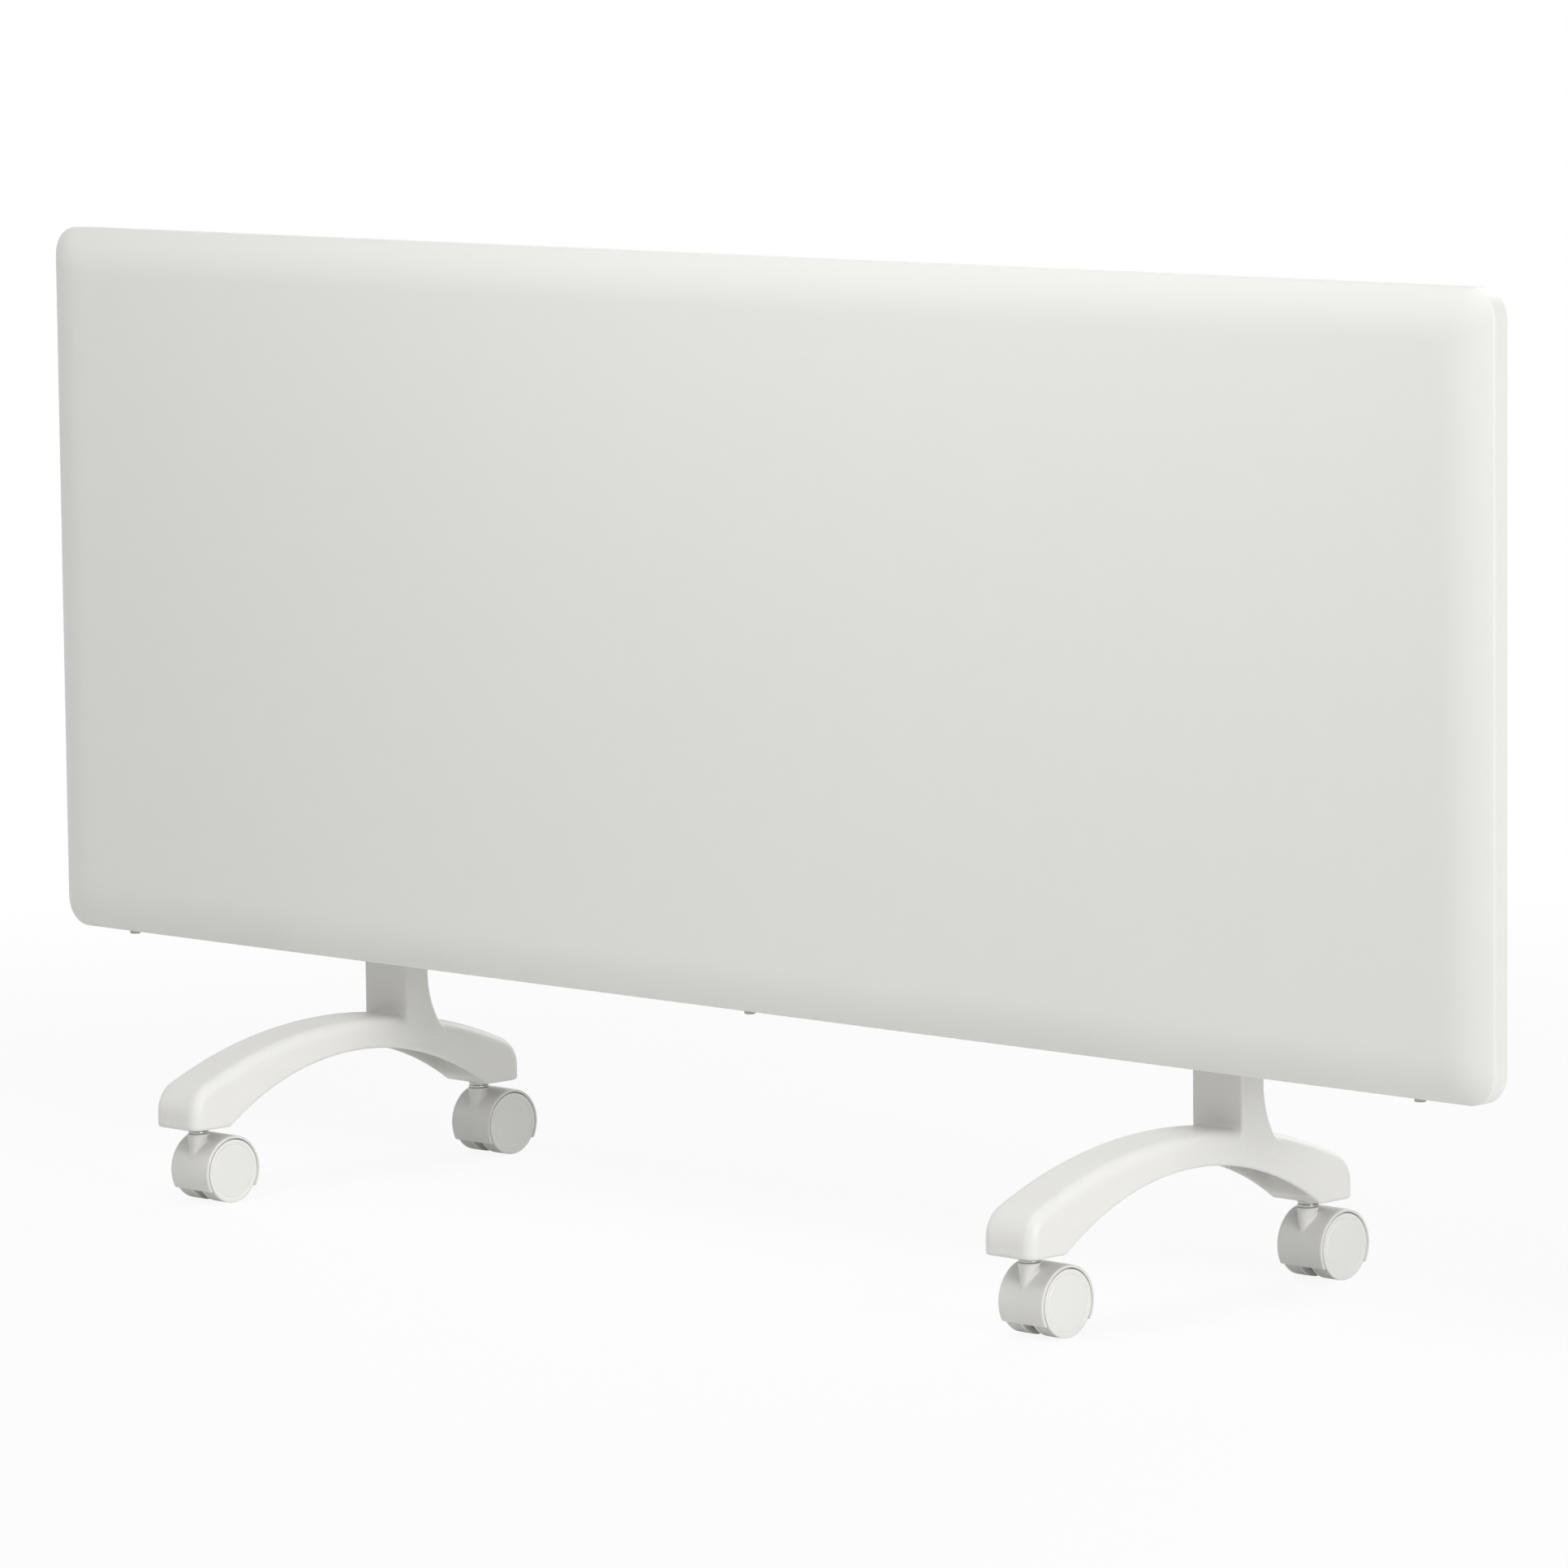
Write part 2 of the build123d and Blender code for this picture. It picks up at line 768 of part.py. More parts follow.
def control_panel():
    half_width = control_width / 2
    plate = block(
        casing_side,
        control_face,
        control_line - half_width - control_overlap,
        control_line + half_width + control_overlap,
        control_foot - control_overlap,
        control_top + control_overlap,
    )
    plate = fillet(plate.edges().filter_by(Axis.X), control_overlap)
    inner = half_width - fit_gap
    collar = block(
        casing_side - control_collar,
        casing_side,
        control_line - inner,
        control_line + inner,
        control_foot + fit_gap,
        control_top - fit_gap,
    )
    hollow = inner - control_collar_wall
    collar -= block(
        casing_side - control_collar,
        casing_side,
        control_line - hollow,
        control_line + hollow,
        control_foot + fit_gap + control_collar_wall,
        control_top - fit_gap - control_collar_wall,
    )
    plate += collar
    plate -= rod(
        (casing_side - control_collar, control_line, knob_level),
        (1, 0, 0),
        spindle_radius + fit_gap,
        2 * control_collar + control_plate,
    )
    plate -= block(
        casing_side - control_collar,
        control_face + control_plate,
        control_line - switch_width / 2,
        control_line + switch_width / 2,
        rocker_level - switch_length / 2,
        rocker_level + switch_length / 2,
    )
    return plate


def thermostat():
    """Thermostat body on the back of the control plate."""
    body = block(
        thermostat_back,
        casing_side,
        control_line - thermostat_width / 2,
        control_line + thermostat_width / 2,
        knob_level - thermostat_height / 2,
        knob_level + thermostat_height / 2,
    )
    body = fillet(body.edges().filter_by(Axis.X), thermostat_round)
    bore_start = (casing_side - spindle_length - fit_gap, control_line, knob_level)
    return body - rod(
        bore_start,
        (1, 0, 0),
        spindle_radius + running_gap,
        spindle_length + 2 * fit_gap,
    )


def thermostat_spindle():
    start = (casing_side - spindle_length, control_line, knob_level)
    length = spindle_length + control_plate + fit_gap + knob_bore_depth
    return rod(start, (1, 0, 0), spindle_radius, length)


def thermostat_knob():
    """Round knob with finger grips and a pointer groove, pressed on the spindle."""
    knob = rod((0, 0, 0), (1, 0, 0), knob_radius, knob_height)
    knob = fillet(knob.faces().sort_by(Axis.X)[-1].edges(), knob_edge_round)
    reach = knob_radius + knob_grip_radius - knob_grip_depth
    for step in range(knob_grips):
        turn = math.radians(360 / knob_grips * (step + 0.5))
        start = (knob_grip_start, reach * math.cos(turn), reach * math.sin(turn))
        knob -= rod(start, (1, 0, 0), knob_grip_radius, knob_height)
    knob -= block(
        knob_height - knob_pointer_depth,
        knob_height + knob_pointer_depth,
        -knob_pointer_width / 2,
        knob_pointer_width / 2,
        knob_pointer_inner,
        knob_radius - knob_pointer_margin,
    )
    knob -= rod((0, 0, 0), (1, 0, 0), spindle_radius, knob_bore_depth)
    place = Pos(control_face + fit_gap, control_line, knob_level)
    return place * Rot(knob_rest_turn, 0, 0) * knob


def capillary_line():
    """Place of the capillary and its bulb along Y."""
    return control_line - thermostat_width / 2 + capillary_inset


def sensor_bulb():
    """Capillary from the thermostat down to its bulb, which the partition holds."""
    down = casing_side - thermostat_depth / 2
    y = capillary_line()
    bulb_place = partition_place + bulb_start
    route = [
        (down, y, knob_level - thermostat_height / 2),
        (down, y, bulb_level),
        (bulb_place, y, bulb_level),
    ]
    path = FilletPolyline(*route, radius=capillary_bend)
    tube = sweep(Plane(path @ 0, z_dir=path % 0) * Circle(capillary_radius), path=path)
    return tube + rod(route[-1], (-1, 0, 0), bulb_radius, bulb_length)


def switch_blade(step):
    """Height of one blade of the switch; the middle one is step 0."""
    return rocker_level + step * switch_length / 4


def switch_body():
    """Rocker switch housing, clipped into the control plate."""
    half_length = switch_length / 2
    half_width = switch_width / 2
    bezel = block(
        control_face,
        control_face + switch_bezel_height,
        control_line - half_width - switch_bezel,
        control_line + half_width + switch_bezel,
        rocker_level - half_length - switch_bezel,
        rocker_level + half_length + switch_bezel,
    )
    bezel = fillet(bezel.edges().filter_by(Axis.X), switch_bezel_round)
    shell = block(
        switch_back,
        control_face,
        control_line - half_width + fit_gap,
        control_line + half_width - fit_gap,
        rocker_level - half_length + fit_gap,
        rocker_level + half_length - fit_gap,
    )
    well = block(
        switch_back + switch_floor,
        control_face + 2 * switch_bezel_height,
        control_line - half_width + switch_wall,
        control_line + half_width - switch_wall,
        rocker_level - half_length + switch_wall,
        rocker_level + half_length - switch_wall,
    )
    body = bezel + shell - well
    for side in (-1, 1):
        y = control_line + side * (half_width - switch_wall)
        body -= rod(
            (control_face, y - side * running_gap, rocker_level),
            (0, side, 0),
            pivot_radius + running_gap,
            pivot_length + 2 * running_gap,
        )
    for step in (-1, 0, 1):
        z = switch_blade(step)
        body += block(
            switch_back - blade_length,
            switch_back,
            control_line - blade_width / 2,
            control_line + blade_width / 2,
            z - blade_thickness / 2,
            z + blade_thickness / 2,
        )
    return body


def power_rocker():
    """Rocker with a shallow V face and two trunnions, lying in its off position."""
    reach = switch_length / 2 - switch_wall - rocker_gap
    half_width = switch_width / 2 - switch_wall - rocker_gap
    outline = Polyline(
        (-rocker_thickness, -reach),
        (rocker_crown, -reach),
        (rocker_valley, 0),
        (rocker_crown, reach),
        (-rocker_thickness, reach),
        close=True,
    )
    profile = make_face(outline) & Circle(reach)
    rocker = extrude(Plane.XZ * profile, amount=half_width, both=True)
    pin = rod(
        (0, -half_width - rocker_gap - pivot_length, 0),
        (0, 1, 0),
        pivot_radius,
        2 * (half_width + rocker_gap + pivot_length),
    )
    rocker = rocker + pin
    return Pos(control_face, control_line, rocker_level) * Rot(0, rocker_tilt, 0) * rocker


def terminal_block():
    """Screw terminal on the back wall of the compartment."""
    body = block(
        compartment_middle - terminal_width / 2,
        compartment_middle + terminal_width / 2,
        channel_back - terminal_depth,
        channel_back,
        terminal_low,
        terminal_high,
    )
    pitch = terminal_height / terminal_ways
    for step in range(terminal_ways):
        z = terminal_low + pitch * (step + 0.5)
        start = (compartment_middle, channel_back - terminal_depth, z)
        body -= rod(start, (0, 1, 0), terminal_screw_radius, terminal_screw_depth)
    return body


def cable_gland():
    """Hollow gland through the floor of the compartment, with its lock nut."""
    base = (compartment_middle, channel_middle, casing_floor)
    body = rod(base, (0, 0, -1), gland_flange_radius, gland_flange_height)
    body = chamfer(body.faces().sort_by(Axis.Z)[0].edges(), gland_chamfer)
    body += rod(base, (0, 0, 1), gland_body_radius, gland_inner_length)
    nut = extrude(RegularPolygon(gland_nut_radius, 6), amount=gland_nut_height)
    body += Pos(base[0], base[1], casing_floor + sheet) * nut
    start = (base[0], base[1], casing_floor - gland_flange_height)
    total = gland_flange_height + gland_inner_length
    return body - rod(start, (0, 0, 1), gland_bore_radius, total)


def stud_place():
    """Earth stud on the back wall, as (x, z)."""
    return (compartment_middle - 2 * lead_spacing, terminal_low - stud_drop)


def earth_stud():
    x, z = stud_place()
    tip = channel_back - stud_length
    stud = rod((x, tip, z), (0, 1, 0), stud_radius, stud_length + sheet)
    stud += rod((x, casing_back, z), (0, 1, 0), stud_head_radius, stud_head_height)
    nut = Plane.XZ * RegularPolygon(stud_head_radius, 6)
    nut = extrude(nut, amount=stud_nut_height, dir=(0, -1, 0))
    return stud + Pos(x, channel_back - stud_nut_gap, z) * nut


# ---------------------------------------------------------------- leads
def wire(route):
    """A round lead along straight runs with rounded corners."""
    path = FilletPolyline(*route, radius=wire_bend)
    profile = Plane(path @ 0, z_dir=path % 0) * Circle(wire_radius)
    return sweep(profile, path=path)


def live_lead():
    """Terminal block to the lower blade of the switch."""
    x = compartment_middle - 2 * lead_spacing
    z = switch_blade(-1)
    middle = (terminal_high + z) / 2
    drift = terminal_line - control_line
    return wire([
        (x, terminal_line, terminal_high),
        (x, terminal_line, middle - drift),
        (x, control_line, middle + drift),
        (x, control_line, z),
        (switch_back - blade_length, control_line, z),
    ])


def switch_lead():
    """Upper blade of the switch to the back of the thermostat."""
    x = switch_back - blade_length - wire_slack - wire_radius
    top = knob_level - thermostat_height / 4
    return wire([
        (switch_back - blade_length, control_line, switch_blade(1)),
        (x, control_line, switch_blade(1)),
        (x, control_line, top),
        (thermostat_back, control_line, top),
    ])


def heater_lead():
    """Back of the thermostat to the front blade of the cutout."""
    blade = cutout_blades()[0]
    tip = partition_place + cutout_height + blade_length
    top = knob_level + thermostat_height / 4
    return wire([
        (thermostat_back, blade, top),
        (tip + wire_slack, blade, top),
        (tip + wire_slack, blade, cutout_level),
        (tip, blade, cutout_level),
    ])


def cutout_lead():
    """Rear blade of the cutout to the right terminal of the element."""
    blade = cutout_blades()[1]
    tip = partition_place + cutout_height + blade_length
    return wire([
        (tip, blade, cutout_level),
        (tip + wire_slack, blade, cutout_level),
        (tip + wire_slack, blade, element_level + 2 * wire_bend),
        (tip + wire_slack, element_line, element_level),
        (element_tip(1), element_line, element_level),
    ])


def neutral_lead():
    """Terminal block, along the foot of the channel, to the left terminal."""
    low = casing_floor + neutral_lift
    start = compartment_middle + lead_spacing
    tip = element_tip(-1)
    far = tip - 2 * wire_slack
    return wire([
        (start, terminal_line, terminal_low),
        (start, terminal_line, low),
        (far, terminal_line, low),
        (far, element_line, (low + element_level) / 2),
        (far, element_line, element_level),
        (tip, element_line, element_level),
    ])


def earth_lead():
    """Terminal block to the tip of the earth stud."""
    x, z = stud_place()
    tip = channel_back - stud_length
    start = tip - wire_radius
    front = start - wire_slack
    return wire([
        (x, start, terminal_low),
        (x, start, terminal_low - wire_slack),
        (x, front, terminal_low - 2 * wire_slack),
        (x, front, z),
        (x, tip, z),
    ])


# ---------------------------------------------------------------- foot fixing
def foot_screw_places():
    half = foot_screw_spacing / 2
    return [leg + side * half for leg in leg_places for side in (-1, 1)]


def foot_plate(leg):
    floor = casing_floor + sheet
    rear = post_middle + foot_plate_depth / 2
    rear = min(rear, casing_back - casing_corner)
    plate = block(
        leg - foot_plate_length / 2,
        leg + foot_plate_length / 2,
        rear - foot_plate_depth,
        rear,
        floor,
        floor + foot_plate_thickness,
    )
    for x in foot_screw_places():
        plate -= rod(
            (x, post_middle, floor - sheet),
            (0, 0, 1),
            foot_screw_radius,
            foot_plate_thickness + 2 * sheet,
        )
    return plate


def foot_screws():
    screws = []
    under_web = casing_floor - post_web
    length = post_web + sheet + foot_plate_thickness + foot_screw_spare
    for x in foot_screw_places():
        start = (x, post_middle, under_web)
        screw = rod(start, (0, 0, 1), foot_screw_radius, length)
        head = rod(start, (0, 0, -1), foot_screw_head_radius, foot_screw_head_height)
        screws.append(screw + head)
    return screws


# ---------------------------------------------------------------- legs
def arch_point(radius, top, offset):
    """A point of a shallow arc whose top is at (middle of the leg, top)."""
    drop = radius - math.sqrt(radius ** 2 - offset ** 2)
    return (0, leg_middle + offset, top - drop)


def arm_profile(half_length, top_radius, top, low_radius, low_top, foot):
    """Side view of an arch between two arcs, with upright ends."""
    upper_end = arch_point(top_radius, top, half_length)
    drop = low_top - foot
    inner = math.sqrt(low_radius ** 2 - (low_radius - drop) ** 2)
    left_top = (0, leg_middle - half_length, upper_end[2])
    left_foot = (0, leg_middle - half_length, foot)
    right_foot = (0, leg_middle + half_length, foot)
    inner_left = (0, leg_middle - inner, foot)
    inner_right = (0, leg_middle + inner, foot)
    edges = [
        Line(left_foot, left_top),
        ThreePointArc(left_top, arch_point(top_radius, top, 0), upper_end),
        Line(upper_end, right_foot),
        Line(right_foot, inner_right),
        ThreePointArc(inner_right, arch_point(low_radius, low_top, 0), inner_left),
        Line(inner_left, left_foot),
    ]
    return make_face(edges)


def at_leg_end(edge):
    """True for an edge in one of the two upright ends of the arch."""
    offset = abs(edge.center().Y - leg_middle)
    return abs(offset - leg_half_length) < hair


def on_lower_rim(edge):
    """True for the lower outer edge: along the under arc and round both ends."""
    middle = edge @ 0.5
    if edge.geom_type == GeomType.CIRCLE and abs(edge.radius - arch_radius) < hair:
        return True
    across = abs(middle.X) < hair and not at_leg_end(edge)
    return abs(middle.Z - leg_foot) < hair and not across


def leg_arms():
    """The arch with rounded noses, soft top edges and a broken lower edge."""
    profile = arm_profile(
        leg_half_length,
        leg_arc_radius,
        crown,
        arch_radius,
        leg_foot + arch_rise,
        leg_foot,
    )
    arms = extrude(profile, amount=leg_width / 2, dir=(1, 0, 0), both=True)
    noses = arms.edges().filter_by(Axis.X).filter_by(at_leg_end)
    noses = [edge for edge in noses if edge.center().Z > leg_foot + hair]
    arms = fillet(noses, leg_nose_round)
    arms = fillet(arms.edges().filter_by(Axis.Z).filter_by(at_leg_end), leg_edge_round)
    return fillet(arms.edges().filter_by(on_lower_rim), leg_foot_round)


def leg_post():
    """The post: upright in front, spreading backwards at its foot."""
    front = post_front
    rear = post_front + post_depth
    foot = crown - arch_drop_behind()
    bend_high = foot + post_flare_height
    turn = (
        0,
        rear + post_flare * post_flare_turn,
        foot + post_flare_height * post_flare_turn_height,
    )
    side = [
        Line((0, front, leg_foot + arch_rise), (0, front, casing_floor)),
        Line((0, front, casing_floor), (0, rear, casing_floor)),
        Line((0, rear, casing_floor), (0, rear, bend_high)),
        ThreePointArc((0, rear, bend_high), turn, (0, rear + post_flare, foot)),
        Line((0, rear + post_flare, foot), (0, rear + post_flare, foot - post_root)),
        Line((0, rear + post_flare, foot - post_root), (0, front, leg_foot + arch_rise)),
    ]
    return extrude(make_face(side), amount=leg_width / 2, dir=(1, 0, 0), both=True)


def arch_drop_behind():
    """How far the top line of the arch has dropped under the back of the post."""
    offset = post_setback + post_depth + post_flare
    return leg_arc_radius - math.sqrt(leg_arc_radius ** 2 - offset ** 2)


def leg_room():
    """The hollow of the arch: open below, under the top skin, between the end blocks."""
    reach = leg_half_length - leg_end_block
    radius = leg_arc_radius - leg_skin
    roof = crown - leg_skin
    low = leg_foot - over_cut
    front_top = arch_point(radius, roof, -reach)
    rear_top = arch_point(radius, roof, reach)
    front_low = (0, leg_middle - reach, low)
    rear_low = (0, leg_middle + reach, low)
    edges = [
        ThreePointArc(front_top, arch_point(radius, roof, 0), rear_top),
        Line(rear_top, rear_low),
        Line(rear_low, front_low),
        Line(front_low, front_top),
    ]
    room = extrude(make_face(edges), amount=leg_width / 2 - leg_skin, dir=(1, 0, 0), both=True)
    return fillet(room.edges().filter_by(GeomType.CIRCLE), leg_edge_round - leg_skin)


def leg(place):
    body = leg_arms() + leg_post()
    inner_half = leg_width / 2 - leg_skin
    hollow = leg_room() + block(
        -inner_half,
        inner_half,
        post_front + leg_skin,
        post_front + post_depth - leg_skin,
        leg_foot,
        casing_floor - post_web,
    )
    body -= hollow
    for side in (-1, 1):
        stem = leg_middle + side * stem_offset
        body -= rod(
            (0, stem, leg_foot - over_cut),
            (0, 0, 1),
            stem_radius + running_gap + socket_wall,
            stem_length + socket_top_gap + over_cut,
        )
    for side in (-1, 1):
        x = side * foot_screw_spacing / 2
        body -= rod(
            (x, post_middle, casing_floor - 2 * post_web),
            (0, 0, 1),
            foot_screw_radius + running_gap,
            3 * post_web,
        )
    return Pos(place, 0, 0) * body


def castor_sockets():
    sleeves = []
    outer = stem_radius + running_gap + socket_wall
    for place in leg_places:
        for side in (-1, 1):
            start = (place, leg_middle + side * stem_offset, leg_foot)
            sleeve = rod(start, (0, 0, 1), outer, stem_length + socket_top_gap)
            sleeve -= rod(
                start, (0, 0, 1), stem_radius + running_gap, stem_length + socket_top_gap
            )
            sleeves.append(sleeve)
    return sleeves


# ---------------------------------------------------------------- castors
def stem_boss():
    """Leaning cone under the stem collar that runs out to a tip on the hood."""
    tip = Pos(0, -boss_lean, boss_top - boss_length) * Circle(boss_tip_radius)
    top = Pos(0, 0, boss_top) * Circle(boss_top_radius)
    return loft([tip, top], ruled=True)


def castor_hood():
    """Round hood over both wheels; the stem is at the local origin, axle behind it."""
    half_width = hood_web / 2 + wheel_side_gap + wheel_width
    drum = rod((-half_width, castor_trail, axle_level), (1, 0, 0), hood_radius, 2 * half_width)
    drum = fillet(drum.edges().filter_by(GeomType.CIRCLE), hood_edge_round)
    hood = drum + stem_boss()
    for side in (-1, 1):
        hood -= rod(
            (side * hood_web / 2, castor_trail, axle_level),
            (side, 0, 0),
            hood_pocket_radius,
            2 * half_width,
        )
    hood -= block(
        -2 * half_width,
        2 * half_width,
        castor_trail - 2 * hood_radius,
        castor_trail + 2 * hood_radius,
        -hood_radius,
        hood_cut_height,
    )
    hood -= rod(
        (-hood_web, castor_trail, axle_level), (1, 0, 0), axle_radius, 2 * hood_web
    )
    tail_end = (0, 0, boss_top - stem_tail_length)
    return hood - rod(tail_end, (0, 0, 1), stem_tail_radius, 2 * stem_tail_length)


def castor_stem():
    stem = rod((0, 0, boss_top), (0, 0, 1), collar_radius, collar_height)
    stem = chamfer(stem.faces().sort_by(Axis.Z)[-1].edges(), collar_chamfer)
    top = boss_top + collar_height
    shank = rod((0, 0, top), (0, 0, 1), stem_radius, stem_length)
    shank = chamfer(shank.faces().sort_by(Axis.Z)[-1].edges(), stem_chamfer)
    tail = rod((0, 0, boss_top), (0, 0, -1), stem_tail_radius, stem_tail_length)
    return stem + shank + tail


def castor_axle():
    half = hood_web / 2 + wheel_side_gap + axle_depth_in_wheel
    return rod((-half, castor_trail, axle_level), (1, 0, 0), axle_radius, 2 * half)


def castor_wheel(side):
    """Full-face disc wheel, cored from the inner side, with a blind bore."""
    inner = side * (hood_web / 2 + wheel_side_gap)
    start = (inner, castor_trail, axle_level)
    outwards = (side, 0, 0)
    wheel = rod(start, outwards, wheel_radius, wheel_width)
    wheel = fillet(wheel.edges().filter_by(GeomType.CIRCLE), wheel_rim_round)
    core = rod(start, outwards, wheel_core_outer, wheel_core_depth)
    core -= rod(start, outwards, wheel_core_inner, wheel_core_depth)
    bore = rod(
        start, outwards, axle_radius + running_gap, axle_depth_in_wheel + running_gap
    )
    return wheel - core - bore


# ---------------------------------------------------------------- assembly
os.makedirs("parts", exist_ok=True)

save("front_cover", front_cover())
save("cover_screws", *cover_screws())
save("cover_nuts", *cover_nuts())
save("backing_plate", backing_plate())
save("rear_casing", rear_casing())
save("casing_rivets", *casing_rivets())
save("outlet_grille", outlet_grille())

save("element_fins", element_fins())
save("element_sheath", element_sheath())
for name, side in (("left", -1), ("right", 1)):
    save(f"element_bush_{name}", element_bush(side))
    save(f"element_bracket_{name}", element_bracket(side))
save("bracket_rivets", *bracket_rivets())

save("partition", partition())
save("overheat_cutout", overheat_cutout())
save("control_panel", control_panel())
save("thermostat", thermostat())
save("thermostat_spindle", thermostat_spindle())
save("thermostat_knob", thermostat_knob())
save("sensor_bulb", sensor_bulb())
save("switch_body", switch_body())
save("power_rocker", power_rocker())
save("terminal_block", terminal_block())
save("cable_gland", cable_gland())
save("earth_stud", earth_stud())

save("live_lead", live_lead())
save("switch_lead", switch_lead())
save("heater_lead", heater_lead())
save("cutout_lead", cutout_lead())
save("neutral_lead", neutral_lead())
save("earth_lead", earth_lead())

for name, place in zip(("left", "right"), leg_places):
    save(f"foot_plate_{name}", foot_plate(place))
    save(f"{name}_leg", leg(place))
save("foot_screws", *foot_screws())
save("castor_sockets", *castor_sockets())

for end, direction in (("front", -1), ("rear", 1)):
    for name, place in zip(("left", "right"), leg_places):
        spot = Pos(place, leg_middle + direction * stem_offset, 0)
        castor = f"{end}_{name}_castor"
        save(f"{castor}_hood", spot * castor_hood())
        save(f"{castor}_stem", spot * castor_stem())
        save(f"{castor}_axle", spot * castor_axle())
        save(f"{castor}_wheel_left", spot * castor_wheel(-1))
        save(f"{castor}_wheel_right", spot * castor_wheel(1))
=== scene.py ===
import math

import bmesh
import bpy
import numpy as np
from mathutils import Matrix, Vector


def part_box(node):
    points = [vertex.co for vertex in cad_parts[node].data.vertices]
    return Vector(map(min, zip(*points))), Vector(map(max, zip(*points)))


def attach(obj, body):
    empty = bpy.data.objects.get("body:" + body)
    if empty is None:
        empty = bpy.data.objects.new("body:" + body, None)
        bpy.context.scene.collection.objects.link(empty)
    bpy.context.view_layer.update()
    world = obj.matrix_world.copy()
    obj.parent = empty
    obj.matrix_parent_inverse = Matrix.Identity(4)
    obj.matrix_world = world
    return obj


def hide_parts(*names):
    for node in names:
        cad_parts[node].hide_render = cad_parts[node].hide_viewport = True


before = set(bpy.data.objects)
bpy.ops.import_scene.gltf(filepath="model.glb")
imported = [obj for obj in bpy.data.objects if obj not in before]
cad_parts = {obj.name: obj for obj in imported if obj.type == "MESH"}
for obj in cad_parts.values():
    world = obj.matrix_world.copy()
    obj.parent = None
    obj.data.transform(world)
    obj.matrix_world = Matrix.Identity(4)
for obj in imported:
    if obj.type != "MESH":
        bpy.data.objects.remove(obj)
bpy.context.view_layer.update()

# ---------------------------------------------------------------- camera
# A long lens far to the front right and a little above the heater, turned as
# the photograph was taken. The picture is square, 1932 pixels a side.
view_turn = math.radians(43.944)
view_rise = math.radians(6.817)
view_roll = math.radians(-0.592)
view_place = Vector((3.0339, -3.1150, 0.7639))
picture_side = 1932
lens_in_pixels = 10169.4
film_width = 36.0

level_right = Vector((math.cos(view_turn), math.sin(view_turn), 0))
view_back = Vector((
    math.sin(view_turn) * math.cos(view_rise),
    -math.cos(view_turn) * math.cos(view_rise),
    math.sin(view_rise),
))
level_up = view_back.cross(level_right)
view_right = math.cos(view_roll) * level_right + math.sin(view_roll) * level_up
view_up = math.cos(view_roll) * level_up - math.sin(view_roll) * level_right

camera = bpy.data.objects.new("camera", bpy.data.cameras.new("camera"))
camera.data.sensor_width = film_width
camera.data.lens = film_width * lens_in_pixels / picture_side
camera.data.clip_end = 200
turn = Matrix((view_right, view_up, view_back)).transposed()
camera.matrix_world = Matrix.Translation(view_place) @ turn.to_4x4()
bpy.context.scene.collection.objects.link(camera)
bpy.context.scene.camera = camera
bpy.context.scene.view_settings.view_transform = "Standard"


# ---------------------------------------------------------------- floor and light
# A pale studio floor that runs out to white, wide soft lamps right, left, behind
# and overhead, and two weak near ones that brighten the top of the front.
class Term:
    """A number in a material that sums and products can be written with."""

    def __init__(self, tree, socket):
        self.tree = tree
        self.socket = socket

    def join(self, operation, first, second):
        node = self.tree.nodes.new("ShaderNodeMath")
        node.operation = operation
        for slot, term in zip(node.inputs, (first, second)):
            if isinstance(term, Term):
                self.tree.links.new(term.socket, slot)
            else:
                slot.default_value = term
        return Term(self.tree, node.outputs[0])

    def __add__(self, other):
        return self.join("ADD", self, other)

    def __mul__(self, other):
        return self.join("MULTIPLY", self, other)

    __radd__ = __add__
    __rmul__ = __mul__


class Recipe:
    """The nodes of one finish, floor or sky."""

    def __init__(self, tree):
        self.tree = tree

    def node(self, kind, settings=None, sockets=None):
        made = self.tree.nodes.new(kind)
        for name, value in (settings or {}).items():
            setattr(made, name, value)
        for name, value in (sockets or {}).items():
            self.feed(made.inputs[name], value)
        return made

    def feed(self, socket, value):
        if isinstance(value, Term):
            self.tree.links.new(value.socket, socket)
        elif isinstance(value, bpy.types.NodeSocket):
            self.tree.links.new(value, socket)
        else:
            socket.default_value = value

    def term(self, socket):
        return Term(self.tree, socket)

    def seen_directly(self):
        """1 for what the camera, a gloss or a clear piece looks at, else 0."""
        path = self.node("ShaderNodeLightPath")
        rays = ("Is Camera Ray", "Is Glossy Ray", "Is Transmission Ray")
        camera_ray, gloss_ray, clear_ray = (self.term(path.outputs[r]) for r in rays)
        return camera_ray + gloss_ray + clear_ray


sky_level = 0.28
sky = bpy.data.worlds.new("studio")
bpy.context.scene.world = sky
sky.use_nodes = True
recipe = Recipe(sky.node_tree)
strength = sky_level + recipe.seen_directly() * (1 - sky_level)
background = sky.node_tree.nodes["Background"]
background.inputs["Color"].default_value = (1, 1, 1, 1)
recipe.feed(background.inputs["Strength"], strength)

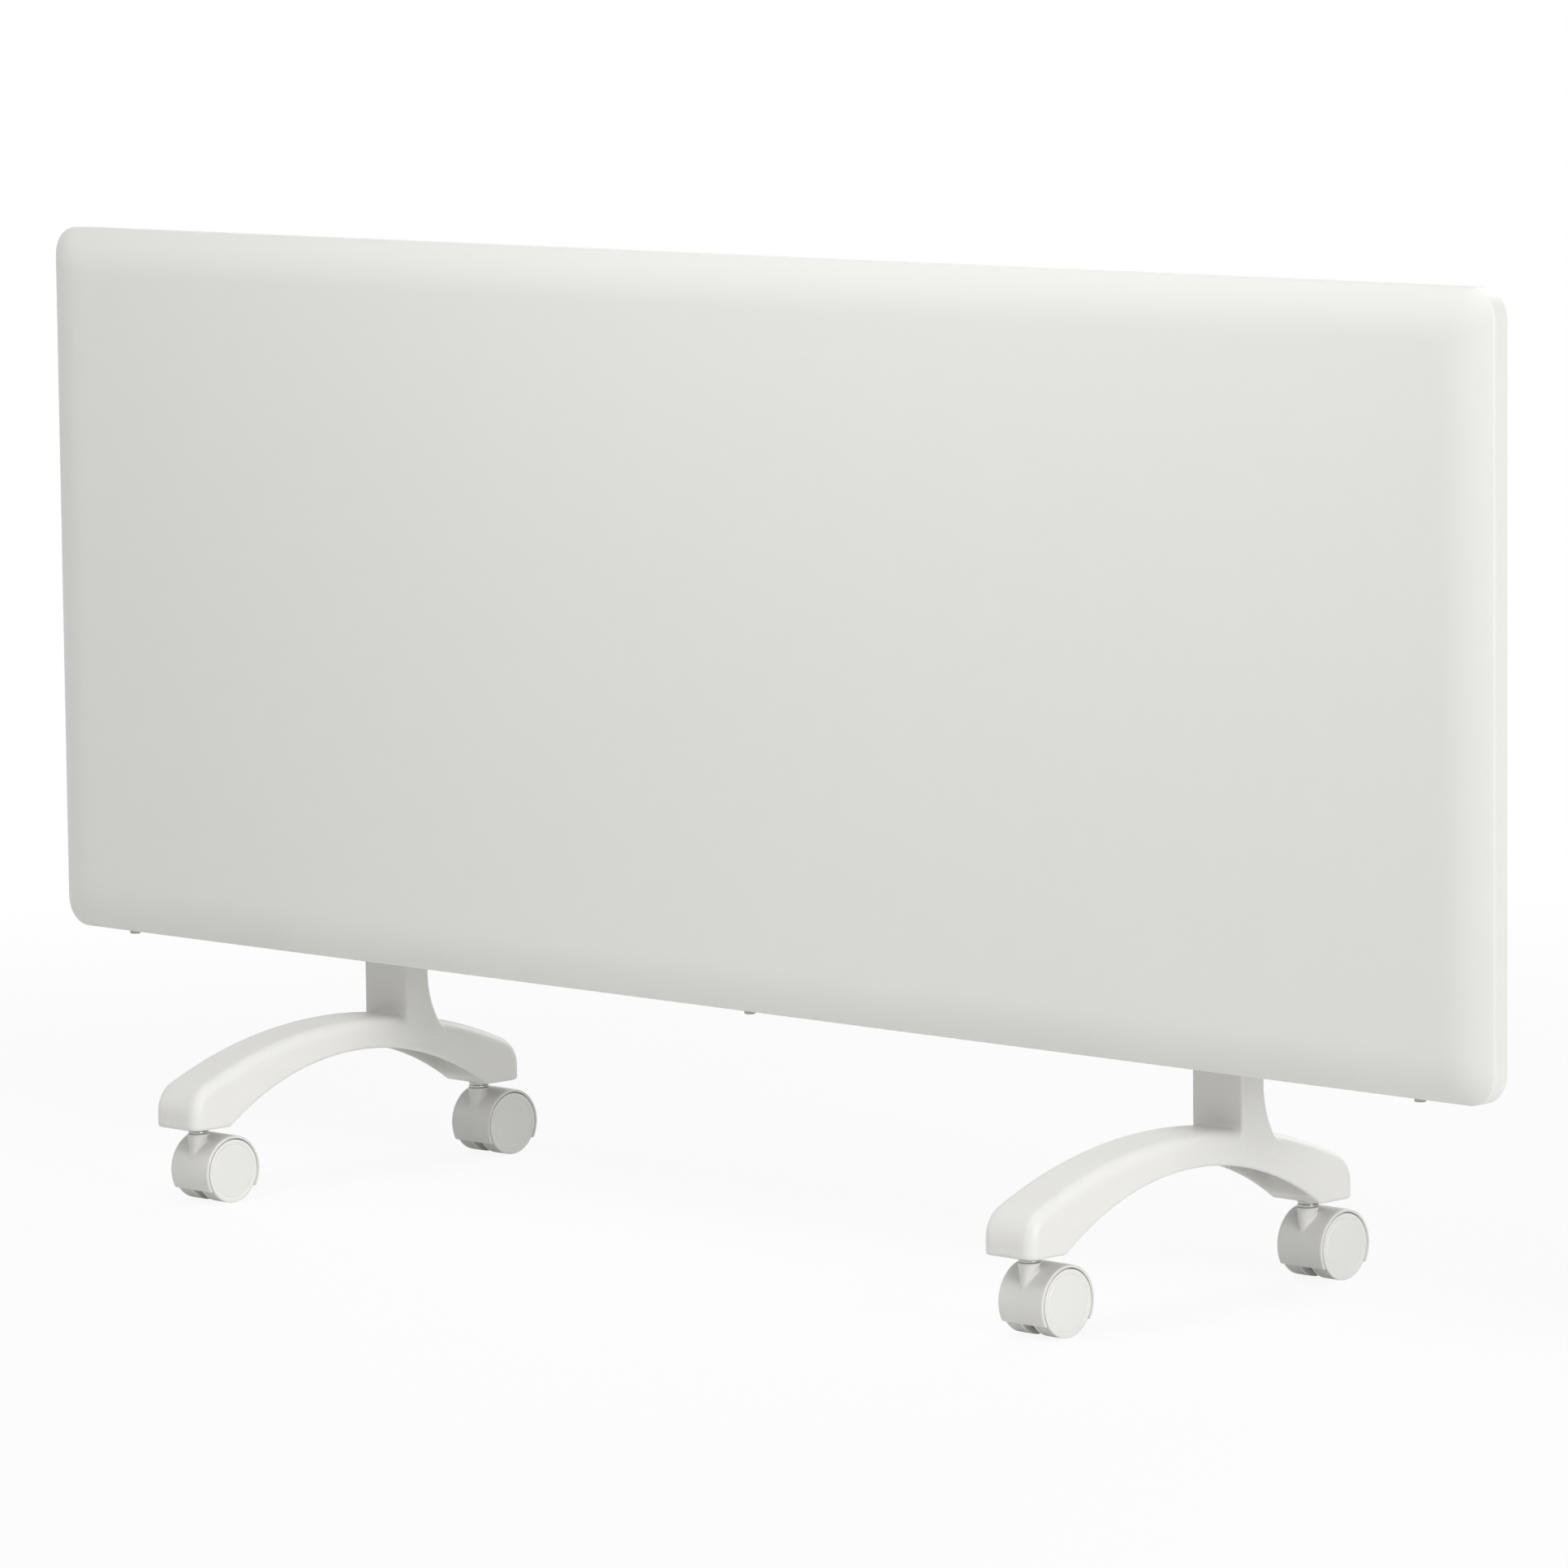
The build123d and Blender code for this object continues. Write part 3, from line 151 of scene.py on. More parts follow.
floor_half = 40.0
floor_drop = 0.0002
floor_glow = 0.9
floor_white_from = 0.75
floor_white_by = 1.6
floor_paint = bpy.data.materials.new("floor")
floor_paint.use_nodes = True
recipe = Recipe(floor_paint.node_tree)
floor_paint.node_tree.nodes.remove(floor_paint.node_tree.nodes["Principled BSDF"])
matt = recipe.node("ShaderNodeBsdfDiffuse", None, {"Color": (0.86, 0.86, 0.85, 1)})
glow = recipe.node("ShaderNodeEmission", None, {"Color": (1, 1, 1, 1), "Strength": 1.0})
spot = recipe.node("ShaderNodeTexCoord").outputs["Object"]
distance = recipe.node("ShaderNodeVectorMath", {"operation": "LENGTH"}, {0: spot})
share = recipe.node(
    "ShaderNodeMapRange",
    {"interpolation_type": "SMOOTHSTEP"},
    {
        "Value": distance.outputs["Value"],
        "From Min": floor_white_from,
        "From Max": floor_white_by,
        "To Min": floor_glow,
        "To Max": 1.0,
    },
)
mixed = recipe.node("ShaderNodeMixShader", None, {
    0: recipe.seen_directly() * recipe.term(share.outputs["Result"]),
    1: matt.outputs[0],
    2: glow.outputs[0],
})
output = floor_paint.node_tree.nodes["Material Output"]
recipe.feed(output.inputs["Surface"], mixed.outputs[0])

floor_mesh = bpy.data.meshes.new("floor")
floor_mesh.from_pydata(
    [(x, y, 0) for x, y in ((-1, -1), (1, -1), (1, 1), (-1, 1))], [], [(0, 1, 2, 3)]
)
floor_mesh.transform(Matrix.Scale(floor_half, 4))
floor_mesh.transform(Matrix.Translation((0, 0, -floor_drop)))
floor_mesh.materials.append(floor_paint)
floor = bpy.data.objects.new("floor", floor_mesh)
bpy.context.scene.collection.objects.link(floor)

for name, place, aim, side, power in (
    ("lamp_right", (3.4, -0.7, 1.0), (0.2, -0.1, 0.25), 1.6, 56.0),
    ("lamp_overhead", (0.2, -0.3, 3.2), (0.0, 0.0, 0.3), 2.4, 6.0),
    ("lamp_left", (-3.2, -1.8, 1.6), (0.0, 0.0, 0.3), 2.2, 15.0),
    ("lamp_behind", (-0.4, 3.4, 2.2), (0.0, 0.0, 0.3), 2.2, 50.0),
    ("lamp_near_front", (0.2, -0.8, 1.35), (0.08, 0.0, 0.5), 0.9, 6.5),
    ("lamp_near_top", (0.1, -0.45, 1.15), (0.0, 0.0, 0.5), 0.8, 1.2),
):
    light = bpy.data.lights.new(name, "AREA")
    light.shape = "SQUARE"
    light.size = side
    light.energy = power
    lamp = bpy.data.objects.new(name, light)
    way = Vector(aim) - Vector(place)
    facing = way.to_track_quat("-Z", "Y").to_matrix().to_4x4()
    lamp.matrix_world = Matrix.Translation(place) @ facing
    bpy.context.scene.collection.objects.link(lamp)


# ---------------------------------------------------------------- front cover
# One pressed steel sheet, 0.8 mm thick, powder coated off-white with a fine
# satin grain. Its border rolls back to a crease and a straight rim, and two
# tongues at the top hook it over the plate behind.
class Finish(Recipe):
    """A material with one shader, and the grain and clouding that real ones have."""

    def __init__(self, name, colour, roughness, metallic=0.0):
        self.material = bpy.data.materials.new(name)
        self.material.use_nodes = True
        super().__init__(self.material.node_tree)
        self.shader = self.tree.nodes["Principled BSDF"].inputs
        self.shader["Base Color"].default_value = (*colour, 1)
        self.shader["Roughness"].default_value = roughness
        self.shader["Metallic"].default_value = metallic
        self.place = self.node("ShaderNodeTexCoord").outputs["Object"]

    def noise(self, scale, detail=2.0, stretch=(1, 1, 1), twist=0.0):
        """Uneven 0 to 1 pattern; the scale is in spots per metre."""
        spread = self.node("ShaderNodeMapping", {"vector_type": "POINT"}, {
            "Vector": self.place, "Scale": stretch,
        })
        made = self.node("ShaderNodeTexNoise", {"noise_dimensions": "3D"}, {
            "Vector": spread.outputs[0], "Scale": scale, "Detail": detail, "Distortion": twist,
        })
        return self.term(made.outputs["Fac"])

    def spots(self, scale):
        """Distance to the nearest of many scattered specks."""
        made = self.node("ShaderNodeTexVoronoi", None, {"Vector": self.place, "Scale": scale})
        return self.term(made.outputs["Distance"])

    def ramp(self, value, low, high):
        """0 below the low value, 1 above the high one, smooth between."""
        made = self.node("ShaderNodeMapRange", {"interpolation_type": "SMOOTHSTEP"}, {
            "Value": value, "From Min": low, "From Max": high,
        })
        return self.term(made.outputs["Result"])

    def colour(self, share, first, second):
        """Colours the surface between two tints, by the share."""
        made = self.node("ShaderNodeMix", {"data_type": "RGBA"}, {
            0: share, 6: (*first, 1), 7: (*second, 1),
        })
        self.feed(self.shader["Base Color"], made.outputs[2])

    def rough(self, value):
        self.feed(self.shader["Roughness"], value)

    def bump(self, height, distance):
        made = self.node("ShaderNodeBump", None, {
            "Height": height, "Distance": distance, "Strength": 1.0,
        })
        self.feed(self.shader["Normal"], made.outputs[0])
        return self.material


def powder_coat(name, clouds, peels, grits, smooth):
    """Satin powder coat: clouds of two tints, a soft peel and a fine grit."""
    scale, first, second = clouds
    coat = Finish(name, first, smooth)
    cloud = coat.noise(scale, 3.0)
    peel = coat.noise(peels, 2.0)
    grit = coat.noise(grits, 2.0)
    coat.colour(cloud, first, second)
    coat.rough(smooth + 0.08 * grit)
    return coat.bump(0.7 * peel + 0.3 * grit, 0.00004)


def box_mm(node):
    """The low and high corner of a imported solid, in millimetres."""
    low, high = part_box(node)
    return low * 1000, high * 1000


def stitched(rows, around, start=0, ends="capped"):
    """Faces between closed rows of points: open, capped, or last joined to first."""
    faces = []
    for row in range(rows if ends == "joined" else rows - 1):
        here = start + row * around
        there = start + (row + 1) % rows * around
        for step in range(around):
            after = (step + 1) % around
            faces.append((here + step, here + after, there + after, there + step))
    if ends == "capped":
        for row in (0, rows - 1):
            faces.append(tuple(range(start + row * around, start + (row + 1) * around)))
    return faces


def closed_mesh(name, points, faces, smooth=True):
    """A mesh from points in millimetres, its doubles merged and turned outwards."""
    mesh = bpy.data.meshes.new(name)
    mesh.from_pydata((np.array(points) * 0.001).tolist(), [], faces)
    shape = bmesh.new()
    shape.from_mesh(mesh)
    bmesh.ops.remove_doubles(shape, verts=shape.verts, dist=1e-6)
    bmesh.ops.recalc_face_normals(shape, faces=shape.faces)
    for face in shape.faces:
        face.smooth = smooth
    shape.to_mesh(mesh)
    shape.free()
    return mesh


def add_mesh(name, body, material, mesh, node=None):
    """Shows a mesh on a body; with a node it takes the place of that solid."""
    for finish in material if isinstance(material, list) else [material]:
        mesh.materials.append(finish)
    piece = bpy.data.objects.new(name, mesh)
    bpy.context.scene.collection.objects.link(piece)
    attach(piece, body)
    if node:
        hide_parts(node)
    return piece


def add_piece(name, body, material, points, faces, node=None, smooth=True):
    mesh = closed_mesh(name, points, faces, smooth)
    return add_mesh(name, body, material, mesh, node)


cover_paint = powder_coat(
    "cover_powder_coat", (5.0, (0.797, 0.797, 0.771), (0.808, 0.806, 0.780)),
    420.0, 2600.0, 0.36,
)
cover_low, cover_high = box_mm("front_cover")
cover_half_wide = (cover_high.x - cover_low.x) / 2
cover_half_tall = (cover_high.z - cover_low.z) / 2
cover_level = (cover_high.z + cover_low.z) / 2
cover_depth = cover_high.y - cover_low.y
cover_corner = 16.0
cover_inner_corner = 5.0
cover_corner_steps = 14
cover_sheet = 0.8
side_cuts = (0.005, 0.03, 0.25, 0.5, 0.75, 0.97, 0.995)
face_insets = (90.0, 34.0, 28.0)
roll_width = 26.0
roll_depth = 7.0
roll_steps = 16
roll_radius = (roll_width ** 2 + roll_depth ** 2) / (2 * roll_depth)
crease_round = 1.3
crease_steps = 7
rim_start = roll_depth + 3.5
rim_end = cover_depth - 0.3
edge_depth = cover_depth - 0.05
edge_inset = 0.15


def cover_ring(inset, depth):
    """One closed line round the cover, pulled in by the inset."""
    share = min(max(inset / roll_width, 0.0), 1.0)
    radius = cover_corner + (cover_inner_corner - cover_corner) * share
    across = cover_half_wide - inset - radius
    upward = cover_half_tall - inset - radius
    ring = []
    for side_x, side_z, start in ((1, 1, 0), (-1, 1, 90), (-1, -1, 180), (1, -1, 270)):
        for step in range(cover_corner_steps + 1):
            angle = math.radians(start + 90 * step / cover_corner_steps)
            ring.append((
                side_x * across + radius * math.cos(angle),
                cover_low.y + depth,
                cover_level + side_z * upward + radius * math.sin(angle),
            ))
        last = Vector(ring[-1])
        level = side_x == side_z
        side = Vector((-2 * side_x * across * level, 0, -2 * side_z * upward * (not level)))
        ring += [tuple(last + side * cut) for cut in side_cuts]
    return ring


def cover_profile():
    """Section of the sheet from the flat face over roll, crease and rim."""
    line = [(inset, 0.0) for inset in face_insets]
    end_slope = math.asin(roll_width / roll_radius)
    trim = crease_round * math.tan((math.pi / 2 - end_slope) / 2)
    last_slope = end_slope - trim / roll_radius
    for step in range(roll_steps + 1):
        slope = last_slope * step / roll_steps
        line.append((
            roll_width - roll_radius * math.sin(slope),
            roll_radius * (1 - math.cos(slope)),
        ))
    for step in range(1, crease_steps + 1):
        slope = end_slope + (math.pi / 2 - end_slope) * step / crease_steps
        line.append((
            crease_round * (1 - math.sin(slope)),
            roll_depth + trim - crease_round * math.cos(slope),
        ))
    return line + [(0.0, rim_start), (0.0, rim_end), (edge_inset, edge_depth)]


outer_line = cover_profile()
inner_line = []
for before, here, after in zip(outer_line, outer_line[1:], outer_line[2:]):
    way = Vector((after[0] - before[0], after[1] - before[1])).normalized()
    inner_line.append((here[0] + way.y * cover_sheet, here[1] - way.x * cover_sheet))
inner_line[-1:] = [(cover_sheet, rim_end), (cover_sheet - edge_inset, edge_depth)]
cover_points = []
for inset, depth in outer_line + inner_line[::-1]:
    cover_points += cover_ring(inset, depth)
around = len(cover_ring(0, 0))
cover_faces = stitched(len(cover_points) // around, around)

tongue_outer = cover_half_wide - 12.0
tongue_length = 38.0
tongue_drop = 8.0
tongue_round = 2.0
tongue_root = 0.4
tongue_edge = []
for angle in range(0, 91, 15):
    turn_x = tongue_round * (1 - math.cos(math.radians(angle)))
    turn_z = tongue_round * (1 - math.sin(math.radians(angle)))
    tongue_edge.append((turn_x, turn_z - tongue_drop))
tongue = [(0.0, tongue_root)] + tongue_edge
tongue += [(tongue_length - x, z) for x, z in tongue_edge[::-1]]
tongue += [(tongue_length, tongue_root)]
for side in (-1, 1):
    cover_faces += stitched(2, len(tongue), len(cover_points))
    cover_points += [
        (side * (tongue_outer - x), cover_low.y + depth, cover_high.z - cover_sheet + z)
        for depth in (cover_depth - cover_sheet, cover_depth)
        for x, z in tongue
    ]

front_cover = add_piece(
    "front_cover_sheet", "heater", cover_paint, cover_points, cover_faces,
    "front_cover",
)
shading = front_cover.modifiers.new("even_shading", "WEIGHTED_NORMAL")
shading.keep_sharp = True


# ---------------------------------------------------------------- cover screws
# Three machine screws with round heads and a six-sided drive, zinc plated steel.
# They come up through the lower rim of the cover into clinch nuts behind it.
def turned_rings(line, segments=72, axis=0, six_sided=0):
    """Points and faces of a round piece on an axis, from (along, radius) pairs.

    The first rows may be six-sided, as the drive of a screw is.
    """
    points = []
    for row, (along, radius) in enumerate(line):
        for step in range(segments):
            angle = 2 * math.pi * step / segments
            reach = radius
            if row < six_sided:
                reach *= math.cos(math.pi / 6) / math.cos(angle % (math.pi / 3) - math.pi / 6)
            points.append((along, reach * math.cos(angle), reach * math.sin(angle)))
    return np.roll(points, axis, 1), stitched(len(line), segments, ends="open")


def bent_corner(line, steps=5):
    """The line with each corner that has a third number rounded by that much."""
    finished = [line[0][:2]]
    for before, here, after in zip(line, line[1:], line[2:]):
        if len(here) < 3:
            finished.append(here)
            continue
        corner = Vector(here[:2])
        to_start = Vector(before[:2]) - corner
        to_end = Vector(after[:2]) - corner
        reach = min(here[2], 0.45 * to_start.length, 0.45 * to_end.length)
        start = corner + to_start.normalized() * reach
        end = corner + to_end.normalized() * reach
        for step in range(steps + 1):
            share = step / steps
            bend = (1 - share) ** 2 * start + 2 * share * (1 - share) * corner + share ** 2 * end
            finished.append(tuple(bend))
    finished.append(line[-1][:2])
    return finished


def placing_tree():
    """Geometry nodes that set one pattern at every point, each turned its own way."""
    tree = bpy.data.node_groups.new("pattern_on_points", "GeometryNodeTree")
    for label, kind in (
        ("Points", "Geometry"), ("Pattern", "Object"), ("Most turn", "Vector"),
        ("Seed", "Int"), ("Finish", "Material"),
    ):
        tree.interface.new_socket(label, in_out="INPUT", socket_type=f"NodeSocket{kind}")
    tree.interface.new_socket("Pieces", in_out="OUTPUT", socket_type="NodeSocketGeometry")
    given, pattern, turn, placed, whole, painted, result = map(tree.nodes.new, (
        "NodeGroupInput", "GeometryNodeObjectInfo", "FunctionNodeRandomValue",
        "GeometryNodeInstanceOnPoints", "GeometryNodeRealizeInstances",
        "GeometryNodeSetMaterial", "NodeGroupOutput",
    ))
    turn.data_type = "FLOAT_VECTOR"
    for start, leaving, end, entering in (
        (given, "Points", placed, "Points"),
        (given, "Pattern", pattern, "Object"),
        (pattern, "Geometry", placed, "Instance"),
        (given, "Most turn", turn, "Max"),
        (given, "Seed", turn, "Seed"),
        (turn, "Value", placed, "Rotation"),
        (placed, "Instances", whole, "Geometry"),
        (whole, "Geometry", painted, "Geometry"),
        (given, "Finish", painted, "Material"),
        (painted, "Geometry", result, "Pieces"),
    ):
        tree.links.new(start.outputs[leaving], end.inputs[entering])
    return tree


placing = placing_tree()
turning_seed = 7
full_turn = 6.28


def repeated(name, body, finish, pattern, places, node, most_turn=(0.0, 0.0, 0.0)):
    """One piece of a pattern, points and faces in millimetres, set at every place."""
    shape = bpy.data.objects.new(f"{name}_pattern", closed_mesh(f"{name}_pattern", *pattern))
    spots = bpy.data.meshes.new(f"{name}_places")
    spots.from_pydata([[value * 0.001 for value in place] for place in places], [], [])
    carrier = bpy.data.objects.new(f"{name}_places", spots)
    for helper in (shape, carrier):
        bpy.context.scene.collection.objects.link(helper)
    step = carrier.modifiers.new("placing", "NODES")
    step.node_group = placing
    given = {
        "Pattern": shape, "Most turn": most_turn, "Seed": turning_seed, "Finish": finish,
    }
    for socket in placing.interface.items_tree:
        if socket.name in given:
            step[socket.identifier] = given[socket.name]
    graph = bpy.context.evaluated_depsgraph_get()
    made = bpy.data.meshes.new_from_object(carrier.evaluated_get(graph))
    for helper in (carrier, shape):
        bpy.data.objects.remove(helper)
    add_mesh(name, body, [], made, node)


def mottled(name, clouds, grains, metallic=0.0, stretch=(1, 1, 1)):
    """A finish with clouds of two tints, and one grain in both gloss and height.

    Clouds are (scale, first tint, second tint); grains are (scale, least
    roughness, most roughness, height in metres).
    """
    scale, first, second = clouds
    grain_scale, smooth, coarse, height = grains
    finish = Finish(name, first, smooth, metallic)
    cloud = finish.noise(scale, 3.0)
    grain = finish.noise(grain_scale, 3.0, stretch)
    finish.colour(cloud, first, second)
    finish.rough(smooth + (coarse - smooth) * grain)
    return finish.bump(grain, height)


screw_steel = mottled(
    "zinc_plated_screw", (260.0, (0.30, 0.30, 0.29), (0.42, 0.42, 0.41)),
    (2400.0, 0.28, 0.48, 0.00001), 1.0,
)
screw_head_radius = 3.0
screw_head_height = 2.0
screw_shank_radius = 2.0
middle_screw_offset = 14.6
screw_low, screw_high = box_mm("cover_screws")
screw_length = screw_high.z - screw_low.z
screw_line = bent_corner([
    (1.0, 0.0),
    (1.0, 1.4),
    (0.0, 1.4),
    (0.0, 1.7),
    (0.0, screw_head_radius, 1.1),
    (screw_head_height, screw_head_radius, 0.2),
    (screw_head_height, screw_shank_radius),
    (screw_length - 0.5, screw_shank_radius, 0.1),
    (screw_length, 1.6, 0.1),
    (screw_length, 0.0),
])
screw_outer = screw_high.x - screw_head_radius
screw_middle = (screw_low.y + screw_high.y) / 2
repeated(
    "cover_screw_set", "heater", screw_steel,
    turned_rings(screw_line, 48, 2, 3),
    [(x, screw_middle, screw_low.z) for x in (
        screw_low.x + screw_head_radius, middle_screw_offset, screw_outer,
    )],
    "cover_screws", (0.0, 0.0, full_turn),
)


def dress(finish, *nodes):
    """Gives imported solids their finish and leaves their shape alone."""
    for node in nodes:
        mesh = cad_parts[node].data
        mesh.materials.clear()
        mesh.materials.append(finish)


zinc_steel = mottled(
    "zinc_plated_steel", (180.0, (0.53, 0.54, 0.56), (0.64, 0.64, 0.63)),
    (1500.0, 0.26, 0.46, 0.00001), 1.0, (1, 1, 0.3),
)
dress(zinc_steel, "cover_nuts")


# ---------------------------------------------------------------- backing plate
# A shallow zinc coated sheet tray inside the rim of the cover. It closes the
# cover, and is the front wall of the warm air channel.
merging_reach = 2e-6
flat_angle = math.radians(1.0)
edge_angle = math.radians(38)


def eased_copy(node, name, body, finish, break_width):
    """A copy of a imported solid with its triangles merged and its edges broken."""
    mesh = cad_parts[node].data.copy()
    mesh.name = name
    mesh.materials.clear()
    if "custom_normal" in mesh.attributes:
        mesh.attributes.remove(mesh.attributes["custom_normal"])
    shape = bmesh.new()
    shape.from_mesh(mesh)
    bmesh.ops.remove_doubles(shape, verts=shape.verts, dist=merging_reach)
    bmesh.ops.dissolve_limit(
        shape, angle_limit=flat_angle, verts=shape.verts, edges=shape.edges
    )
    for face in shape.faces:
        face.smooth = True
    shape.to_mesh(mesh)
    shape.free()
    piece = add_mesh(name, body, finish, mesh, node)
    edge = piece.modifiers.new("broken_edges", "BEVEL")
    edge.width = break_width * 0.001
    edge.segments = 2
    edge.limit_method = "ANGLE"
    edge.angle_limit = edge_angle
    edge.use_clamp_overlap = True
    shading = piece.modifiers.new("even_shading", "WEIGHTED_NORMAL")
    shading.keep_sharp = True


galvanised = Finish("zinc_coated_sheet", (0.62, 0.63, 0.64), 0.4, 1.0)
spangle = galvanised.spots(70.0)
drawn_lines = galvanised.noise(240.0, 3.0, (1, 1, 0.06))
galvanised.colour(0.7 * spangle + 0.3 * drawn_lines, (0.57, 0.58, 0.60), (0.68, 0.69, 0.69))
galvanised.rough(0.30 + 0.24 * drawn_lines)
zinc_sheet = galvanised.bump(drawn_lines, 0.000008)
eased_copy("backing_plate", "backing_tray", "heater", zinc_sheet, 0.2)


# ---------------------------------------------------------------- rear casing
# One pressed sheet tray in the same satin powder coat. It forms the warm air
# channel, with intake slots in its floor and slots for a wall bracket behind.
casing_paint = powder_coat(
    "casing_powder_coat", (6.0, (0.782, 0.783, 0.768), (0.798, 0.796, 0.780)),
    430.0, 2500.0, 0.38,
)
eased_copy("rear_casing", "rear_casing_tray", "heater", casing_paint, 0.22)


# ---------------------------------------------------------------- rivets
# Tubular aluminium rivets with domed heads and a small hollow where the pin
# broke off. Ten join casing and plate, four hold the brackets of the element.
rivet_aluminium = mottled(
    "rivet_aluminium", (300.0, (0.66, 0.66, 0.67), (0.77, 0.77, 0.77)),
    (1900.0, 0.28, 0.48, 0.00001), 1.0,
)
rivet_head_radius = 3.0
rivet_head_height = 1.0
rivet_radius = 1.6
rivet_inset = 18.0
rivet_row = 4


def rivet_set(node, name, places):
    """Rivets about +Y, the broken end of each behind the sheets that it grips."""
    low, high = box_mm(node)
    grip = high.y - low.y - 2 * rivet_head_height
    line = bent_corner([
        (-rivet_head_height, 0.0),
        (-rivet_head_height, 2.0, 0.6),
        (-0.45, 2.9, 0.3),
        (0.0, rivet_head_radius, 0.1),
        (0.0, rivet_radius),
        (grip, rivet_radius),
        (grip, rivet_head_radius, 0.1),
        (grip + 0.4, 2.95, 0.3),
        (grip + rivet_head_height, 1.7, 0.5),
        (grip + rivet_head_height, 0.95, 0.15),
        (grip + 0.1, 0.85, 0.1),
        (grip + 0.1, 0.0),
    ], 4)
    points, faces = turned_rings(line, 32)
    repeated(
        name, "heater", rivet_aluminium, (points[:, [1, 0, 2]], faces),
        [(x, low.y + rivet_head_height, z) for x, z in places], node,
        (0.0, full_turn, 0.0),
    )


casing_low, casing_high = box_mm("rear_casing")
casing_flange = 8.0
casing_side = casing_high.x - casing_flange
rivet_side = casing_high.x - casing_flange / 2
rivet_high = casing_high.z - casing_flange / 2
rivet_low = casing_low.z + casing_flange / 2
rivet_places = [(x, (rivet_high + rivet_low) / 2) for x in (-rivet_side, rivet_side)]
for step in range(rivet_row):
    x = (casing_side - rivet_inset) * (2 * step / (rivet_row - 1) - 1)
    rivet_places += [(x, rivet_high), (x, rivet_low)]
rivet_set("casing_rivets", "casing_rivet_set", rivet_places)
bracket_low, bracket_high = box_mm("bracket_rivets")
rivet_set("bracket_rivets", "bracket_rivet_set", [
    (x, z)
    for x in (bracket_low.x + rivet_head_radius, bracket_high.x - rivet_head_radius)
    for z in (bracket_low.z + rivet_head_radius, bracket_high.z - rivet_head_radius)
])


# ---------------------------------------------------------------- outlet grille
# A moulded grille that drops into the opening in the top of the casing. Four
# long slats and thirteen short ribs, all with rounded tops, stand in its frame.
grille_plastic = mottled(
    "grille_plastic", (22.0, (0.765, 0.763, 0.742), (0.795, 0.793, 0.775)),
    (1700.0, 0.38, 0.54, 0.00004),
)
grille_low, grille_high = box_mm("outlet_grille")
grille_rim = 3.3
grille_rim_height = 2.0
grille_corner = 0.6
grille_least_corner = 0.4
grille_bar = 2.0
grille_bays = 14
grille_rows = 5
rib_drop = 0.25
grille_half = (grille_high - grille_low) / 2
grille_middle = (grille_high + grille_low) / 2
rim_under = grille_high.z - grille_rim_height
body_half_x = grille_half.x - grille_rim
body_half_y = grille_half.y - grille_rim


def rounded_loop(half_x, half_y, radius, z, steps=6):
    """Points round a rectangle with rounded corners, about the grille's middle."""
    points = []
    for quarter, (side_x, side_y) in enumerate(((1, 1), (-1, 1), (-1, -1), (1, -1))):
        for step in range(steps + 1):
            angle = math.radians(90 * (quarter + step / steps))
            points.append((
                grille_middle.x + side_x * (half_x - radius) + radius * math.cos(angle),
                grille_middle.y + side_y * (half_y - radius) + radius * math.sin(angle),
                z,
            ))
    return points


frame_points = []
frame_rows = bent_corner([
    (0.0, grille_low.z),
    (0.0, rim_under, 0.3),
    (-grille_rim, rim_under, 0.2),
    (-grille_rim, grille_high.z, 0.9),
    (grille_bar, grille_high.z, 0.7),
    (grille_bar, grille_low.z, 0.3),
    (0.0, grille_low.z),
], 4)[:-1]
for inset, z in frame_rows:
    radius = max(grille_least_corner, grille_corner - inset)
    frame_points += rounded_loop(body_half_x - inset, body_half_y - inset, radius, z)
add_piece(
    "grille_frame", "heater", grille_plastic, frame_points,
    stitched(len(frame_rows), len(frame_points) // len(frame_rows), ends="joined"),
    "outlet_grille",
)


def grille_bars(name, half_length, along_x, places):
    """Slats or ribs with rounded tops, each about its own place."""
    half = grille_bar / 2
    line = bent_corner([
        (-half, grille_low.z),
        (-half, grille_high.z, 0.7),
        (half, grille_high.z, 0.7),
        (half, grille_low.z),
    ], 4)
    points = [(end * half_length, y, z) for end in (-1, 1) for y, z in line]
    if not along_x:
        points = [(-y, x, z) for x, y, z in points]
    repeated(
        name, "heater", grille_plastic,
        (points, stitched(2, len(line))), places, "outlet_grille",
    )


bay = (2 * body_half_x - grille_bar) / grille_bays
row_pitch = (2 * body_half_y - grille_bar) / grille_rows
grille_bars("grille_slats", body_half_x - grille_bar / 2, True, [
    (grille_middle.x, grille_middle.y + (step - grille_rows / 2) * row_pitch, 0)
    for step in range(1, grille_rows)
])
grille_bars("grille_ribs", body_half_y - grille_bar / 2, False, [
    (grille_middle.x + (step - grille_bays / 2) * bay, grille_middle.y, -rib_drop)
    for step in range(1, grille_bays)
])


# ---------------------------------------------------------------- heating element
# An extruded aluminium body with four fins on a steel sheathed heater. White
# ceramic bushes hold its ends in two sheet brackets on the back of the channel.
extruded = Finish("extruded_aluminium", (0.66, 0.66, 0.66), 0.38, 1.0)
die_lines = extruded.noise(900.0, 3.0, (0.02, 1, 1))
heat_bloom = extruded.noise(9.0, 3.0, (0.3, 1, 1))
extruded.colour(
    extruded.ramp(heat_bloom, 0.35, 0.8), (0.68, 0.68, 0.68), (0.58, 0.565, 0.545)
)
extruded.rough(0.26 + 0.26 * die_lines)
dress(extruded.bump(die_lines, 0.00002), "element_fins")

